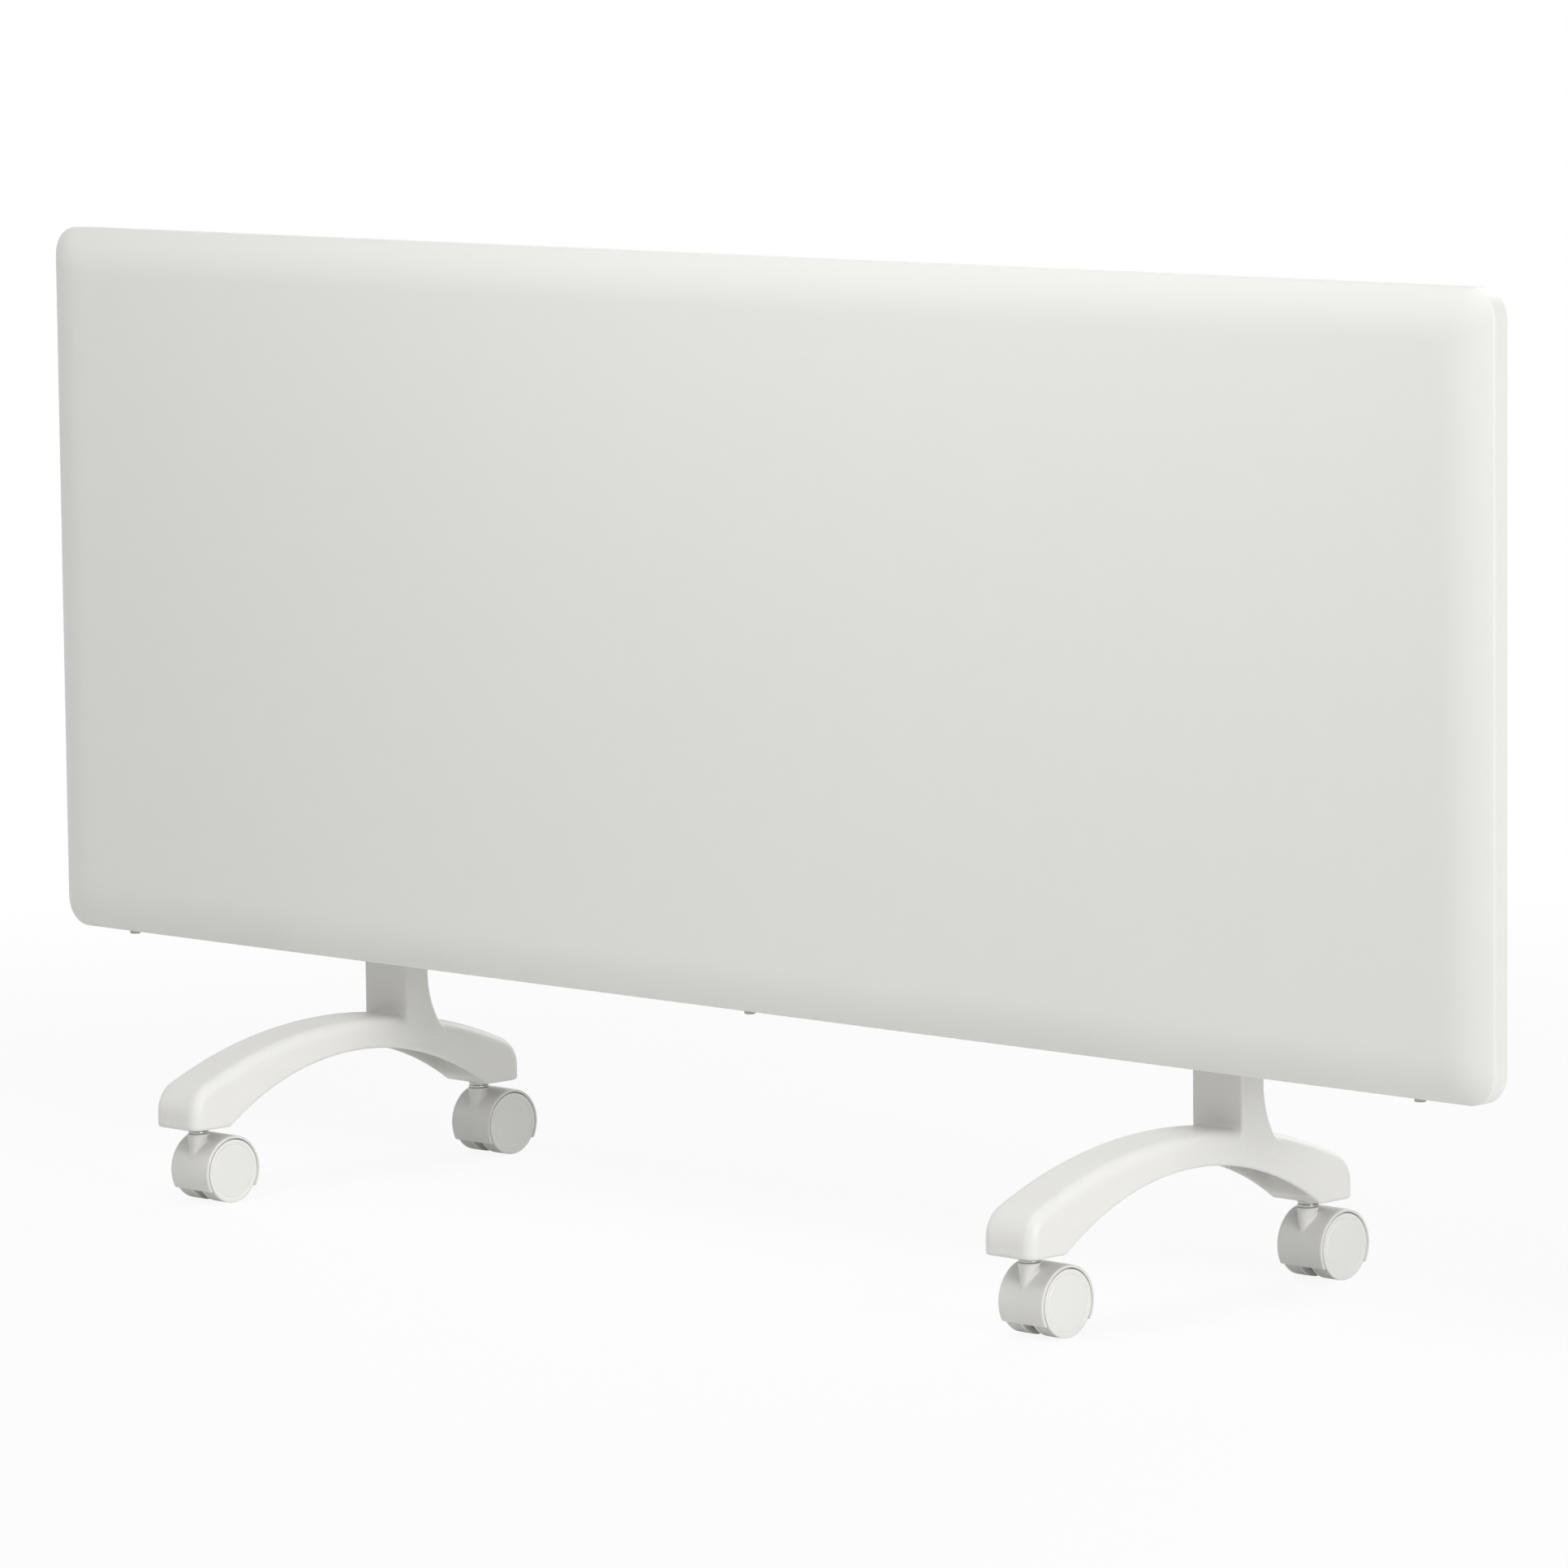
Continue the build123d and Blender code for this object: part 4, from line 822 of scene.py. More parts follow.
tinted = Finish("heat_tinted_steel", (0.42, 0.40, 0.38), 0.4, 1.0)
tint_band = tinted.noise(28.0, 3.0, (1, 0.4, 0.4))
tint_scale = tinted.noise(1300.0, 3.0)
tinted.colour(tint_band, (0.44, 0.40, 0.35), (0.36, 0.37, 0.42))
tinted.rough(0.30 + 0.28 * tint_scale)
dress(tinted.bump(tint_scale, 0.00001), "element_sheath")

dress(mottled(
    "unglazed_ceramic", (120.0, (0.83, 0.82, 0.765), (0.88, 0.87, 0.83)),
    (1400.0, 0.62, 0.82, 0.00005),
), "element_bush_left", "element_bush_right")
dress(zinc_sheet, "element_bracket_left", "element_bracket_right")


# ---------------------------------------------------------------- partition
# A zinc coated sheet wall between the hot channel and the wiring. The round
# phenolic overheat cutout is pressed into it, its cap in the warm air.
dress(zinc_sheet, "partition")
dress(mottled(
    "phenolic_moulding", (160.0, (0.10, 0.075, 0.06), (0.15, 0.115, 0.09)),
    (1600.0, 0.4, 0.62, 0.00003),
), "overheat_cutout")


# ---------------------------------------------------------------- control panel
# A moulded plate in the right end of the casing with a collar behind it. The
# marks round the dial are printed on it in dark grey.
control_plastic = mottled(
    "control_plastic", (26.0, (0.748, 0.746, 0.724), (0.772, 0.77, 0.752)),
    (1600.0, 0.38, 0.54, 0.00004),
)
eased_copy(
    "control_panel", "control_plate", "heater", control_plastic, 0.35
)
dial_ink = mottled(
    "printed_ink", (500.0, (0.05, 0.05, 0.055), (0.085, 0.085, 0.09)),
    (2600.0, 0.45, 0.65, 0.000004),
)
panel_low, panel_high = box_mm("control_panel")
knob_low, knob_high = box_mm("thermostat_knob")
control_face = panel_high.x
knob_line = (panel_low.y + panel_high.y) / 2
knob_level = (knob_low.z + knob_high.z) / 2
ink_height = 0.04
tick_start = 15.3
long_tick = (1.7, 0.22)
short_tick = (1.0, 0.15)
dial_sweep = 270.0
dial_numbers = 7
number_size = 3.24
number_reach = 18.9
tick_points = []
tick_faces = []
for step in range(2 * dial_numbers - 1):
    angle = math.radians(-dial_sweep / 2 + step * dial_sweep / (2 * dial_numbers - 2))
    outwards = Vector((math.sin(angle), math.cos(angle)))
    across = Vector((outwards.y, -outwards.x))
    length, half = short_tick if step % 2 else long_tick
    tick_faces += stitched(2, 4, len(tick_points))
    for lift in (-ink_height, ink_height):
        for reach, side in ((0, -half), (0, half), (length, half), (length, -half)):
            right, up = outwards * (tick_start + reach) + across * side
            tick_points.append((control_face + lift, knob_line + right, knob_level + up))
add_piece(
    "dial_ticks", "heater", dial_ink, tick_points, tick_faces, smooth=False
)

for number in range(dial_numbers):
    angle = math.radians(-dial_sweep / 2 + number * dial_sweep / (dial_numbers - 1))
    words = bpy.data.curves.new(f"dial_number_{number}", "FONT")
    words.body = str(number)
    words.size = number_size * 0.001
    words.align_x = "CENTER"
    words.align_y = "CENTER"
    words.extrude = ink_height * 0.001
    lettering = bpy.data.objects.new(f"dial_number_{number}_outline", words)
    printed = bpy.data.meshes.new_from_object(lettering)
    bpy.data.objects.remove(lettering)
    printed.transform(Matrix(((0, 0, 1, 0), (1, 0, 0, 0), (0, 1, 0, 0), (0, 0, 0, 1))))
    printed.transform(Matrix.Translation(Vector((
        control_face,
        knob_line + number_reach * math.sin(angle),
        knob_level + number_reach * math.cos(angle),
    )) * 0.001))
    printed.materials.clear()
    add_mesh(f"dial_number_{number}", "heater", dial_ink, printed)


# ---------------------------------------------------------------- thermostat
# A moulded thermostat behind the plate, its steel spindle, and a round knob
# with finger grips pressed on the spindle. A dark line fills the knob's groove.
dress(mottled(
    "thermostat_body", (60.0, (0.185, 0.185, 0.187), (0.22, 0.22, 0.222)),
    (1500.0, 0.42, 0.6, 0.00004),
), "thermostat")
dress(zinc_steel, "thermostat_spindle")
dress(mottled(
    "drawn_copper", (110.0, (0.66, 0.39, 0.25), (0.76, 0.50, 0.35)),
    (1400.0, 0.26, 0.46, 0.00001), 1.0,
), "sensor_bulb")


def rounded_cut(first, second, radius):
    """Where two forms overlap, with the edge between them rounded."""
    u = np.maximum(first + radius, 0)
    v = np.maximum(second + radius, 0)
    return np.minimum(np.maximum(first, second), -radius) + np.sqrt(u * u + v * v)


def moulded_skin(form, low, high, cell):
    """Points and faces of a moulded form, from how far any place is from its skin."""
    axes = [np.arange(a - cell, b + 2 * cell, cell) for a, b in zip(low, high)]
    value = form(*np.meshgrid(*axes, indexing="ij"))
    inside = value < 0
    cells = tuple(n - 1 for n in value.shape)
    total = np.zeros((*cells, 3))
    hits = np.zeros(cells)
    corners = [(i, j, k) for i in (0, 1) for j in (0, 1) for k in (0, 1)]
    picked = {c: tuple(slice(o, o + n) for o, n in zip(c, cells)) for c in corners}
    for first in corners:
        for axis in range(3):
            if first[axis]:
                continue
            second = tuple(1 if i == axis else c for i, c in enumerate(first))
            a, b = value[picked[first]], value[picked[second]]
            crossed = (a < 0) != (b < 0)
            share = np.where(crossed, a / np.where(crossed, a - b, 1), 0)
            for i in range(3):
                place = share if i == axis else first[i]
                total[..., i] += np.where(crossed, place, 0)
            hits += crossed
    used = hits > 0
    index = np.full(cells, -1)
    index[used] = np.arange(used.sum())
    points = total[used] / hits[used][:, None] + np.argwhere(used)
    points = points * cell + np.array([axis[0] for axis in axes])
    faces = []
    for axis in range(3):
        across, along = [i for i in range(3) if i != axis]
        near = [slice(1, n - 1) for n in value.shape]
        far = list(near)
        near[axis] = slice(0, value.shape[axis] - 1)
        far[axis] = slice(1, value.shape[axis])
        spots = np.argwhere(inside[tuple(near)] != inside[tuple(far)])
        ring = []
        for da, db in ((1, 1), (0, 1), (0, 0), (1, 0)):
            step = spots.copy()
            step[:, across] += da
            step[:, along] += db
            ring.append(index[tuple(step.T)])
        faces.append(np.stack(ring, 1))
    faces = np.concatenate(faces)
    edges = np.concatenate([faces[:, [i, (i + 1) % 4]] for i in range(4)])
    probe = 0.02
    least_slope = 0.2
    longest_move = 0.4 * cell
    for relax in (0.5, 0.5, 0.4, 0.0):
        if relax:
            pull = np.zeros_like(points)
            count = np.zeros(len(points))
            for a, b in ((0, 1), (1, 0)):
                np.add.at(pull, edges[:, a], points[edges[:, b]])
                np.add.at(count, edges[:, a], 1)
            points += relax * (pull / count[:, None] - points)
        for _ in range(4):
            slope = np.stack([
                form(*(points + step).T) - form(*(points - step).T)
                for step in np.eye(3) * probe
            ], 1) / (2 * probe)
            size = np.maximum((slope ** 2).sum(1), least_slope)
            move = form(*points.T)[:, None] * slope / size[:, None]
            points -= np.clip(move, -longest_move, longest_move)
    return points, faces.tolist()


knob_radius = 14.0
knob_height = 12.0
grip_count = 18
grip_radius = 1.4
grip_start = 1.5
groove_half_wide = 0.8
groove_floor = 11.2
groove_ends = (3, 12)
bore_radius = 3.05
bore_depth = 8.05


def knob_form(x, y, z):
    """The knob about its own axis, its groove pointing up; below zero is plastic."""
    reach = np.hypot(y, z)
    pitch = 2 * math.pi / grip_count
    angle = np.arctan2(z, y) % pitch - pitch / 2
    grip_reach = knob_radius + 0.4
    grip = np.hypot(reach * np.cos(angle) - grip_reach, reach * np.sin(angle)) - grip_radius
    grip = np.maximum(grip, grip_start - x)
    groove = np.maximum(np.abs(y) - groove_half_wide, groove_floor - x)
    groove = np.maximum(groove, np.maximum(groove_ends[0] - z, z - groove_ends[1]))
    knob = rounded_cut(reach - knob_radius, x - knob_height, 2.0)
    knob = rounded_cut(knob, -x, 0.3)
    knob = rounded_cut(knob, -grip, 0.35)
    knob = rounded_cut(knob, -groove, 0.2)
    return np.maximum(knob, -np.maximum(reach - bore_radius, x - bore_depth))


knob_plastic = mottled(
    "knob_plastic", (70.0, (0.79, 0.788, 0.765), (0.812, 0.81, 0.792)),
    (1900.0, 0.3, 0.46, 0.00003),
)
rest_turn = math.radians(135.0)
turned = np.array((
    (1, 0, 0),
    (0, math.cos(rest_turn), -math.sin(rest_turn)),
    (0, math.sin(rest_turn), math.cos(rest_turn)),
))
knob_place = np.array((knob_high.x - knob_height, knob_line, knob_level))
knob_points, knob_faces = moulded_skin(
    knob_form, (0, -knob_radius, -knob_radius), (knob_height, knob_radius, knob_radius), 0.5
)
add_piece(
    "knob_moulding", "thermostat_knob", knob_plastic,
    knob_points @ turned.T + knob_place, knob_faces, "thermostat_knob",
)
pointer_points = np.array([
    (x, y, z)
    for x in (11.0, 11.45)
    for y, z in ((-0.7, 3.2), (0.7, 3.2), (0.7, 11.6), (-0.7, 11.6))
])
add_piece(
    "knob_pointer_line", "thermostat_knob", dial_ink,
    pointer_points @ turned.T + knob_place, stitched(2, 4), smooth=False,
)


# ---------------------------------------------------------------- switch
# A black rocker switch clipped into the plate, with flat push-on blades behind
# it. The rocker carries a bar and a ring, the usual marks for on and off.
switch_plastic = mottled(
    "switch_plastic", (90.0, (0.036, 0.036, 0.038), (0.05, 0.05, 0.052)),
    (1700.0, 0.24, 0.4, 0.00003),
)
eased_copy("switch_body", "switch_housing", "heater", switch_plastic, 0.25)
rocker_plastic = mottled(
    "rocker_plastic", (120.0, (0.045, 0.045, 0.047), (0.06, 0.06, 0.062)),
    (2100.0, 0.17, 0.32, 0.00002),
)
eased_copy(
    "power_rocker", "rocker_moulding", "power_rocker", rocker_plastic, 0.3
)
rocker_tilt = math.radians(8.0)
rocker_valley = 1.2
mark_sunk = -0.15
mark_proud = 0.05
ring_steps = 28
ring_level = -4.6
rocker_low, rocker_high = box_mm("power_rocker")
rocker_axis = np.array((
    control_face, (rocker_low.y + rocker_high.y) / 2, (rocker_low.z + rocker_high.z) / 2
))


def on_rocker(right, up, lift):
    """A place on the rocker's face, which is a shallow valley, at rest."""
    out = rocker_valley + abs(up) * math.tan(rocker_tilt) + lift
    return rocker_axis + np.array((
        out * math.cos(rocker_tilt) + up * math.sin(rocker_tilt),
        right,
        up * math.cos(rocker_tilt) - out * math.sin(rocker_tilt),
    ))


def rocker_mark(name, outline, inner=None):
    """A raised mark from an outline, or between an outer and an inner outline."""
    loops = [(outline, mark_sunk), (outline, mark_proud)]
    loops += [(inner, mark_proud), (inner, mark_sunk)] if inner else []
    add_piece(
        name, "power_rocker", knob_plastic,
        [on_rocker(right, up, lift) for loop, lift in loops for right, up in loop],
        stitched(len(loops), len(outline), ends="joined" if inner else "capped"),
        smooth=False,
    )


def ring_outline(radius, up):
    turns = [2 * math.pi * step / ring_steps for step in range(ring_steps)]
    return [(radius * math.sin(turn), up + radius * math.cos(turn)) for turn in turns]


rocker_mark("rocker_on_bar", [(-0.3, 3.1), (0.3, 3.1), (0.3, 6.1), (-0.3, 6.1)])
rocker_mark(
    "rocker_off_ring", ring_outline(1.7, ring_level), ring_outline(1.15, ring_level)
)


# ---------------------------------------------------------------- wiring
# Behind the plate: a nylon terminal block, a nylon gland for the supply cord,
# a brass earth stud and six silicone sleeved leads, all fixed inside.
dress(mottled(
    "terminal_nylon", (60.0, (0.80, 0.80, 0.755), (0.84, 0.84, 0.80)),
    (1500.0, 0.42, 0.6, 0.00003),
), "terminal_block")
dress(mottled(
    "plain_brass", (240.0, (0.66, 0.52, 0.26), (0.77, 0.63, 0.35)),
    (1500.0, 0.24, 0.42, 0.00001), 1.0,
), "earth_stud")
for name, first, second, leads in (
    ("brown_sleeve", (0.20, 0.09, 0.045), (0.25, 0.12, 0.06), ("live_lead",)),
    ("white_sleeve", (0.76, 0.76, 0.73), (0.81, 0.81, 0.79),
     ("switch_lead", "heater_lead", "cutout_lead")),
    ("blue_sleeve", (0.045, 0.16, 0.46), (0.06, 0.20, 0.54), ("neutral_lead",)),
):
    dress(mottled(name, (45.0, first, second), (1800.0, 0.46, 0.66, 0.00004)), *leads)
earth_sleeve = Finish("earth_sleeve", (0.30, 0.52, 0.08), 0.55)
stripe = earth_sleeve.noise(30.0, 0.0, (1, 4, 0.2))
sleeve_grain = earth_sleeve.noise(1800.0, 2.0)
earth_sleeve.colour(
    earth_sleeve.ramp(stripe, 0.47, 0.53), (0.10, 0.38, 0.06), (0.66, 0.60, 0.05)
)
earth_sleeve.rough(0.46 + 0.18 * sleeve_grain)
dress(earth_sleeve.bump(sleeve_grain, 0.00003), "earth_lead")

gland_nylon = mottled(
    "gland_nylon", (140.0, (0.05, 0.05, 0.052), (0.075, 0.075, 0.077)),
    (1500.0, 0.38, 0.56, 0.00004),
)
gland_low, gland_high = box_mm("cable_gland")
gland_tall = gland_high.z - gland_low.z
gland_bore = 3.6
gland_thread = 7.0
gland_nut = 8.6
gland_flange = 10.0
gland_line = bent_corner([
    (0.0, gland_bore),
    (0.0, 8.8),
    (1.2, gland_flange),
    (5.0, gland_flange, 0.3),
    (5.0, gland_thread),
    (5.8, gland_thread),
    (5.8, gland_nut, 0.2),
    (9.8, gland_nut, 0.4),
    (9.8, gland_thread, 0.2),
    (gland_tall, gland_thread, 0.5),
    (gland_tall, gland_bore, 0.3),
    (0.8, gland_bore, 0.1),
    (0.0, gland_bore),
], 4)
gland_points, gland_faces = turned_rings(gland_line, 64, 2)
gland_place = ((gland_low.x + gland_high.x) / 2, (gland_low.y + gland_high.y) / 2, gland_low.z)
add_piece(
    "cable_gland_turned", "heater", gland_nylon,
    gland_points + gland_place, gland_faces, "cable_gland",
)


# ---------------------------------------------------------------- foot fixing
# A tapped steel plate lies on the casing floor over each foot, and two screws
# come up through the top web of the foot into it.
dress(zinc_steel, "foot_plate_left", "foot_plate_right", "foot_screws")


# ---------------------------------------------------------------- legs
# Two moulded plastic arches, each with a post that carries the casing. They are
# hollow underneath and soft along every upper edge. A steel sleeve near each end
# takes the stem of a castor.
leg_white = Finish("leg_plastic", (0.80, 0.79, 0.765), 0.42)
leg_cloud = leg_white.noise(14.0, 3.0)
leg_grain = leg_white.noise(1500.0, 3.0)
leg_flow = leg_white.noise(30.0, 2.0, (1, 0.25, 1), 1.2)
leg_white.colour(
    0.6 * leg_cloud + 0.4 * leg_flow, (0.79, 0.785, 0.758), (0.815, 0.808, 0.785)
)
leg_white.rough(0.36 + 0.12 * leg_grain)
leg_plastic = leg_white.bump(leg_grain, 0.00004)

leg_low, leg_high = box_mm("left_leg")
leg_half_wide = (leg_high.x - leg_low.x) / 2
leg_half_length = (leg_high.y - leg_low.y) / 2
leg_middle = (leg_high.y + leg_low.y) / 2
leg_foot = leg_low.z
leg_crown = leg_foot + 48.2
leg_top_radius = 286.0
leg_nose_round = 10.5
leg_edge_round = 6.5
leg_foot_round = 1.5
leg_skin = 2.8
leg_hollow = leg_half_length - 33.0
leg_roof_round = 2.0
leg_cell = 1.15
arch_radius = 169.4
arch_top = leg_foot + 31.1
post_top = leg_high.z
post_low = arch_top + 1.5
post_front = 35.7
post_depth = 17.2
post_flare = 7.5
post_flare_height = 30.0
post_flare_top = leg_crown - 6.5 + post_flare_height
post_flare_power = 2.34
post_most_lean = 1.2
post_edge_round = 1.3
post_join_round = 2.0
post_well_round = 1.5
post_web = 4.0
taper_scale = 0.93
socket_outer = 5.65
socket_top = leg_foot + 20.5
stem_offset = leg_half_length - 17.8
foot_screw_offset = 8.5
foot_screw_hole = 2.45
foot_screw_low = leg_crown + 20


def soft_join(first, second, radius):
    """Two forms joined, with the corner between them filled."""
    u = np.maximum(radius - first, 0)
    v = np.maximum(radius - second, 0)
    return np.maximum(np.minimum(first, second), radius) - np.sqrt(u * u + v * v)


def leg_form(x, y, z):
    """The leg about its own middle; below zero is plastic."""
    side = np.abs(x) - leg_half_wide
    end = np.abs(y) - leg_half_length
    top = np.hypot(y, z - (leg_crown - leg_top_radius)) - leg_top_radius
    under = arch_radius - np.hypot(y, z - (arch_top - arch_radius))
    upper = rounded_cut(rounded_cut(top, end, leg_nose_round), side, leg_edge_round)
    arch = rounded_cut(upper, np.maximum(under, leg_foot - z), leg_foot_round)

    lean = np.clip((post_flare_top - z) / post_flare_height, 0, post_most_lean)
    rear = post_front + post_depth + post_flare * lean ** post_flare_power
    depth = np.maximum(post_front - y, (y - rear) * taper_scale)
    post = rounded_cut(depth, side, post_edge_round)
    post = np.maximum(post, np.maximum(z - post_top, post_low - z))
    body = soft_join(arch, post, post_join_round)

    inner_side = np.abs(x) - (leg_half_wide - leg_skin)
    roof = rounded_cut(top + leg_skin, np.abs(y) - leg_hollow, leg_roof_round)
    hollow = rounded_cut(roof, inner_side, leg_edge_round - leg_skin)
    well = np.maximum(post_front + leg_skin - y, y - (post_front + post_depth - leg_skin))
    well = np.maximum(well, z - (post_top - post_web))
    well = np.maximum(rounded_cut(well, inner_side, post_well_round), leg_foot - z)
    sleeve = np.hypot(x, np.abs(y) - stem_offset) - socket_outer
    sleeve = np.maximum(sleeve, z - socket_top)
    across = np.abs(x) - foot_screw_offset
    screw = np.hypot(across, y - (post_front + post_depth / 2)) - foot_screw_hole
    screw = np.maximum(screw, foot_screw_low - z)
    inside = np.minimum(np.minimum(hollow, well), np.minimum(sleeve, screw))
    return np.maximum(body, -inside)


leg_points, leg_faces = moulded_skin(
    leg_form,
    (-leg_half_wide, -leg_half_length, leg_foot),
    (leg_half_wide, leg_half_length, post_top),
    leg_cell,
)
for name in ("left_leg", "right_leg"):
    low, high = box_mm(name)
    add_piece(
        f"{name}_moulding", "heater", leg_plastic,
        leg_points + ((low.x + high.x) / 2, leg_middle, 0), leg_faces, name,
    )

socket_steel = mottled(
    "socket_tube_steel", (200.0, (0.45, 0.45, 0.46), (0.56, 0.56, 0.57)),
    (1300.0, 0.28, 0.48, 0.00001), 1.0, (1, 1, 0.1),
)
socket_low, socket_high = box_mm("castor_sockets")
socket_tall = socket_high.z - socket_low.z
socket_inner = 4.05
socket_mouth = socket_inner + 0.3
socket_line = bent_corner([
    (0.0, socket_mouth),
    (0.0, socket_outer, 0.2),
    (socket_tall, socket_outer, 0.3),
    (socket_tall, socket_inner, 0.2),
    (0.5, socket_inner, 0.3),
    (0.0, socket_mouth),
], 3)
repeated(
    "castor_socket_set", "heater", socket_steel,
    turned_rings(socket_line, 48, 2),
    [
        (x, y, socket_low.z)
        for x in (socket_low.x + socket_outer, socket_high.x - socket_outer)
        for y in (socket_low.y + socket_outer, socket_high.y - socket_outer)
    ],
    "castor_sockets",
)


# ---------------------------------------------------------------- castors
# Each castor is a moulded hood over two disc wheels on a steel axle. A plated
# stem with a collar stands in the boss of the hood and turns in its sleeve.
hood_plastic = mottled(
    "castor_hood_plastic", (40.0, (0.735, 0.73, 0.708), (0.765, 0.76, 0.742)),
    (2200.0, 0.36, 0.50, 0.00003),
)

wheel_white = Finish("castor_wheel_plastic", (0.80, 0.795, 0.775), 0.38)
wheel_cloud = wheel_white.noise(50.0, 3.0)
wheel_scuff = wheel_white.noise(700.0, 4.0, (1, 1, 0.2), 0.6)
wheel_white.colour(wheel_cloud, (0.79, 0.785, 0.762), (0.81, 0.806, 0.79))
wheel_white.rough(0.32 + 0.16 * wheel_scuff)
wheel_plastic = wheel_white.bump(wheel_scuff, 0.00002)

# The tread band is the same white plastic as the wheel, but it is painted a darker grey as
# painted shade for the shade under the hood. The clouds on it are dust.
shaded_tread = Finish("castor_tread_painted_shade", (0.68, 0.675, 0.655), 0.6)
tread_dust = shaded_tread.noise(220.0, 4.0)
tread_mark = shaded_tread.noise(1800.0, 2.0)
shaded_tread.colour(
    shaded_tread.ramp(tread_dust, 0.35, 0.75), (0.64, 0.635, 0.612), (0.71, 0.705, 0.69)
)
shaded_tread.rough(0.55 + 0.2 * tread_dust)
tread_painted_shade = shaded_tread.bump(tread_mark, 0.00006)

plated = Finish("stem_plating", (0.46, 0.46, 0.44), 0.1, 1.0)
plate_haze = plated.noise(900.0, 3.0, (1, 1, 6))
plated.colour(plate_haze, (0.40, 0.40, 0.38), (0.54, 0.54, 0.52))
plated.rough(0.06 + 0.12 * plate_haze)
stem_steel = plated.bump(plate_haze, 0.00001)

axle_grey = Finish("axle_steel", (0.55, 0.55, 0.54), 0.3, 1.0)
axle_lines = axle_grey.noise(1200.0, 3.0, (0.1, 1, 1))
axle_grey.rough(0.24 + 0.2 * axle_lines)
axle_steel = axle_grey.bump(axle_lines, 0.00001)

wheel_radius = 17.5
wheel_width = 11.2
wheel_inner = 3.8
wheel_groove = 17.35
wheel_recess = 10.75
wheel_face = 11.15
tread_start = 1.3
tread_end = 9.8
tread_radius = 17.2
axle_level = wheel_radius
axle_radius = 2.0
castor_trail = 12.0
hood_radius = 19.6
hood_pocket = 18.0
hood_web = 3.5
hood_half_wide = wheel_inner + wheel_width
hood_low = 7.5
hood_cell = 0.56
boss_top = 38.5
boss_length = 13.5
boss_lean = 4.2
boss_radius = 6.0
boss_taper = 4.4
boss_most_sunk = 1.1
stem_radius = 4.0
stem_length = 20.0
collar_radius = 5.7
collar_groove = 5.1
collar_height = 3.9
tail_radius = 2.4
tail_low = boss_top - 18
tail_high = boss_top + 0.3


def hood_form(x, y, z):
    """Hood with its stem at the origin; below zero is plastic."""
    across = np.abs(x) - hood_half_wide
    reach = np.hypot(y - castor_trail, z - axle_level)
    drum = rounded_cut(reach - hood_radius, across, 0.9)
    sunk = np.clip((boss_top - z) / boss_length, 0, boss_most_sunk)
    boss_side = np.hypot(x, y + boss_lean * sunk) - (boss_radius - boss_taper * sunk)
    boss_end = np.maximum(z - boss_top, boss_top - boss_length - z)
    boss = rounded_cut(boss_side * taper_scale, boss_end, 0.4)
    hood = soft_join(drum, boss, 0.8)
    pocket = rounded_cut(reach - hood_pocket, hood_web - np.abs(x), 0.8)
    hood = rounded_cut(hood, -pocket, 0.35)
    hood = rounded_cut(hood, hood_low - z, 0.5)
    bore = np.maximum(np.hypot(x, y) - tail_radius, tail_low - z)
    return np.maximum(hood, -np.minimum(bore, reach - axle_radius))


hood_points, hood_faces = moulded_skin(
    hood_form,
    (-hood_half_wide, castor_trail - hood_radius, hood_low),
    (hood_half_wide, castor_trail + hood_radius, boss_top + 3.8),
    hood_cell,
)
wheel_line = bent_corner([
    (0.0, 2.05),
    (0.0, 6.0, 0.5),
    (6.0, 6.0, 0.5),
    (6.0, 14.0, 0.5),
    (0.0, 14.0, 0.4),
    (0.0, wheel_radius, 1.2),
    (1.2, wheel_radius, 0.2),
    (1.25, wheel_groove, 0.1),
    (1.55, wheel_groove, 0.1),
    (1.6, wheel_radius, 0.2),
    (9.5, wheel_radius, 0.2),
    (9.55, wheel_groove, 0.1),
    (9.85, wheel_groove, 0.1),
    (9.9, wheel_radius, 0.2),
    (wheel_width, wheel_radius, 1.3),
    (wheel_width, 15.3, 0.4),
    (wheel_recess, 15.0, 0.4),
    (wheel_recess, 14.6, 0.3),
    (11.05, 14.2, 0.5),
    (wheel_face, 8.0, 3.0),
    (wheel_face, 0.0),
])
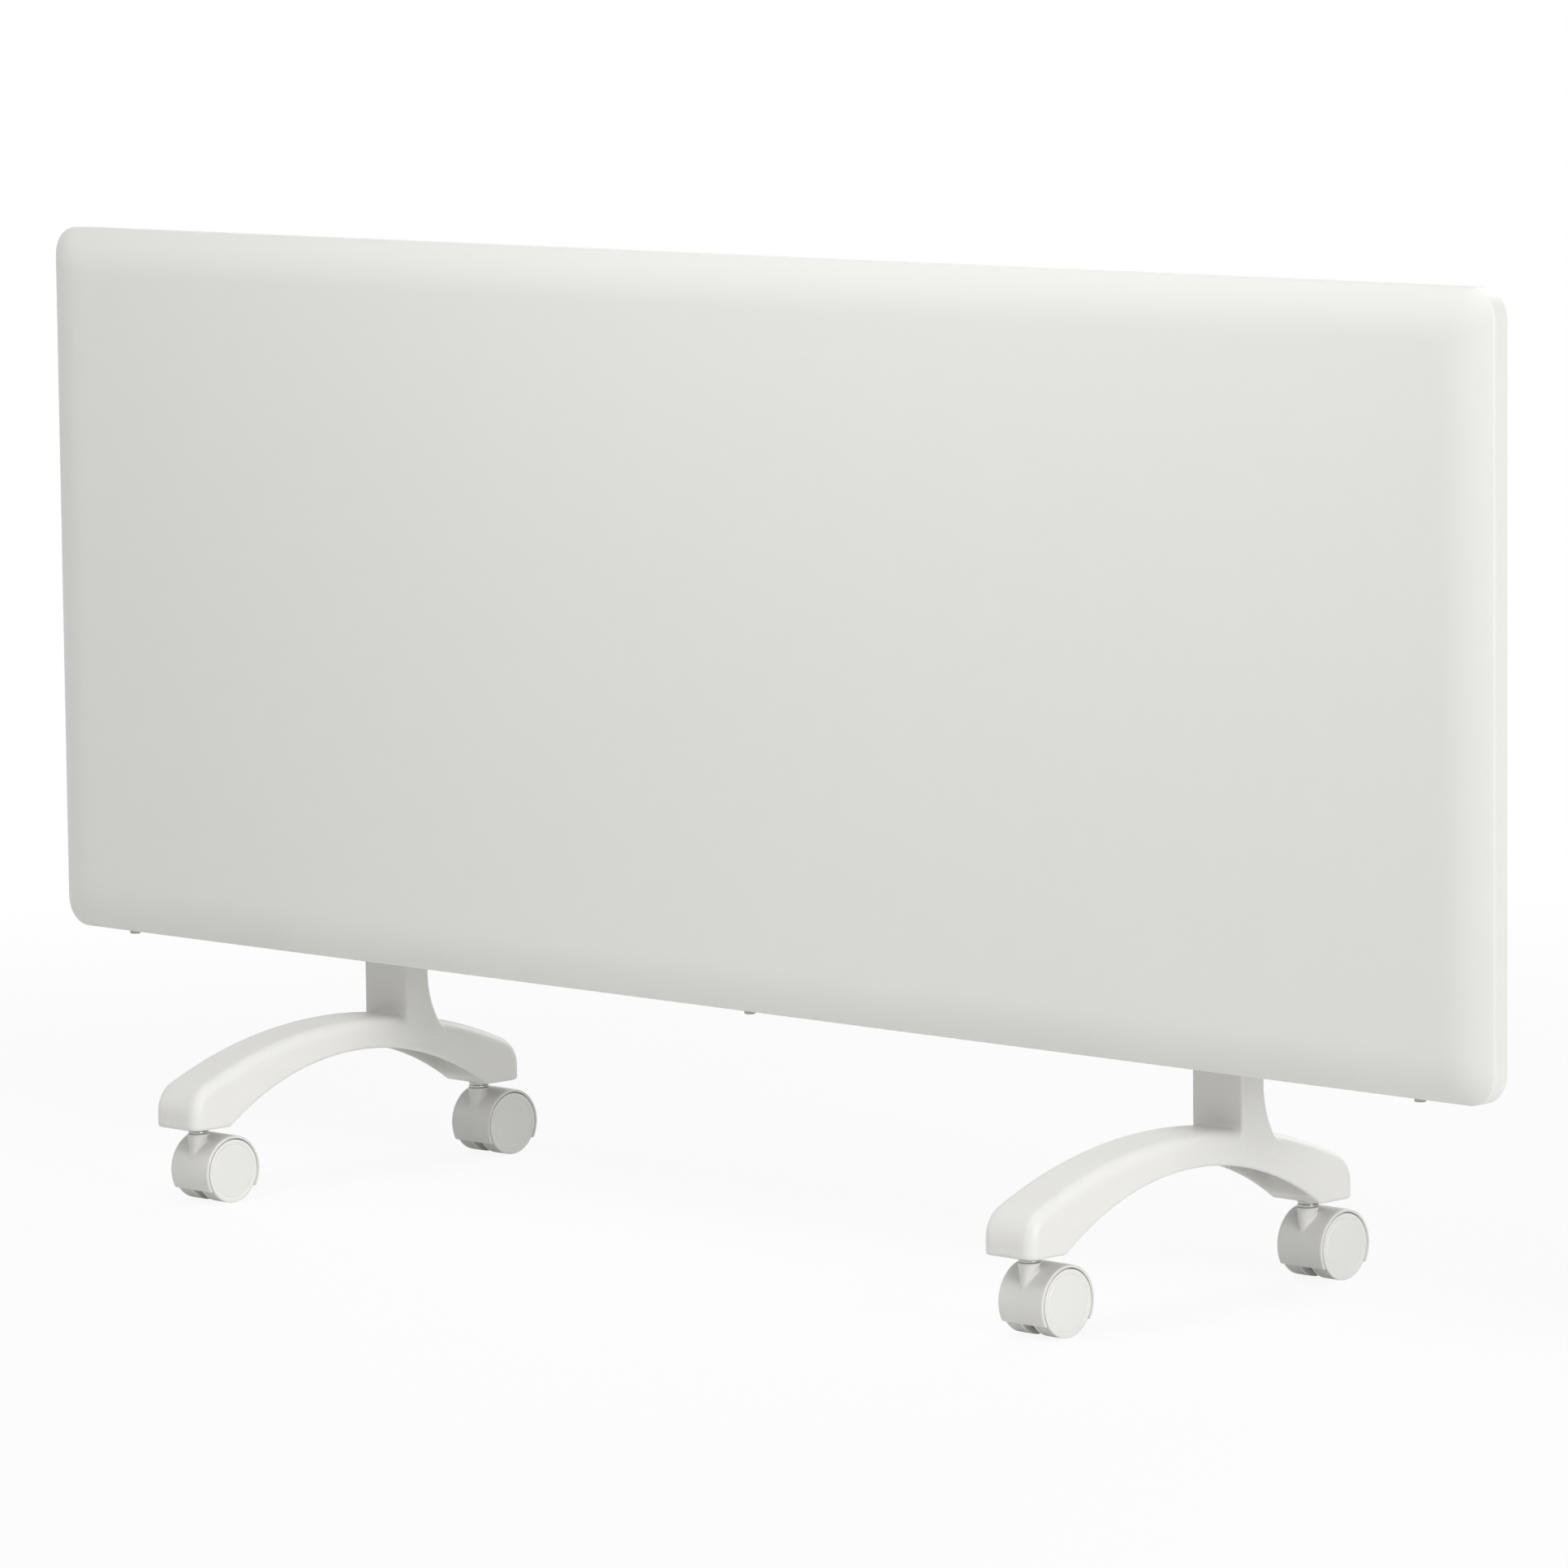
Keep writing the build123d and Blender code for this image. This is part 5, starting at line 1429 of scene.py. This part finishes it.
wheel_points, wheel_faces = turned_rings(wheel_line, 96)
collar_top = boss_top + collar_height
stem_top = collar_top + stem_length
stem_line = bent_corner([
    (boss_top, 0.0),
    (boss_top, 5.2, 0.3),
    (boss_top + 0.5, collar_radius, 0.4),
    (boss_top + 1.4, collar_radius, 0.3),
    (boss_top + 1.7, collar_groove, 0.3),
    (boss_top + 2.1, collar_groove, 0.3),
    (boss_top + 2.4, collar_radius, 0.3),
    (boss_top + 3.3, collar_radius, 0.3),
    (collar_top, 5.3, 0.3),
    (collar_top, stem_radius, 0.2),
    (stem_top - 0.8, stem_radius, 0.4),
    (stem_top, 3.2, 0.3),
    (stem_top, 0.0),
])
tail_line = [(tail_low, 0.0), (tail_low, tail_radius), (tail_high, tail_radius), (tail_high, 0.0)]
stem_points, stem_faces = turned_rings(stem_line, 64, 2)
tail_points, tail_faces = turned_rings(tail_line, 64, 2)
stem_faces += [tuple(i + len(stem_points) for i in face) for face in tail_faces]
stem_points = np.concatenate((stem_points, tail_points))

for end in ("front", "rear"):
    for name in ("left", "right"):
        castor = f"{end}_{name}_castor"
        low, high = box_mm(f"{castor}_stem")
        place = np.array(((low.x + high.x) / 2, (low.y + high.y) / 2, 0.0))
        add_piece(
            f"{castor}_hood_moulding", castor, hood_plastic,
            hood_points + place, hood_faces, f"{castor}_hood",
        )
        add_piece(
            f"{castor}_stem_turned", castor, stem_steel,
            stem_points + place, stem_faces, f"{castor}_stem",
        )
        for side, way in (("left", -1), ("right", 1)):
            points = wheel_points * (way, 1, 1) + (way * wheel_inner, castor_trail, axle_level)
            wheel = add_piece(
                f"{castor}_wheel_{side}_disc", f"{castor}_wheel_{side}",
                [wheel_plastic, tread_painted_shade], points + place, wheel_faces,
                f"{castor}_wheel_{side}",
            )
            # Faces on the tread band take the darker finish, which is painted shade.
            for face in wheel.data.polygons:
                x, y, z = np.array(face.center) * 1000 - place
                tread = tread_start < abs(x) - wheel_inner < tread_end
                reach = math.hypot(y - castor_trail, z - axle_level)
                face.material_index = int(tread and reach > tread_radius)
        dress(axle_steel, f"{castor}_axle")
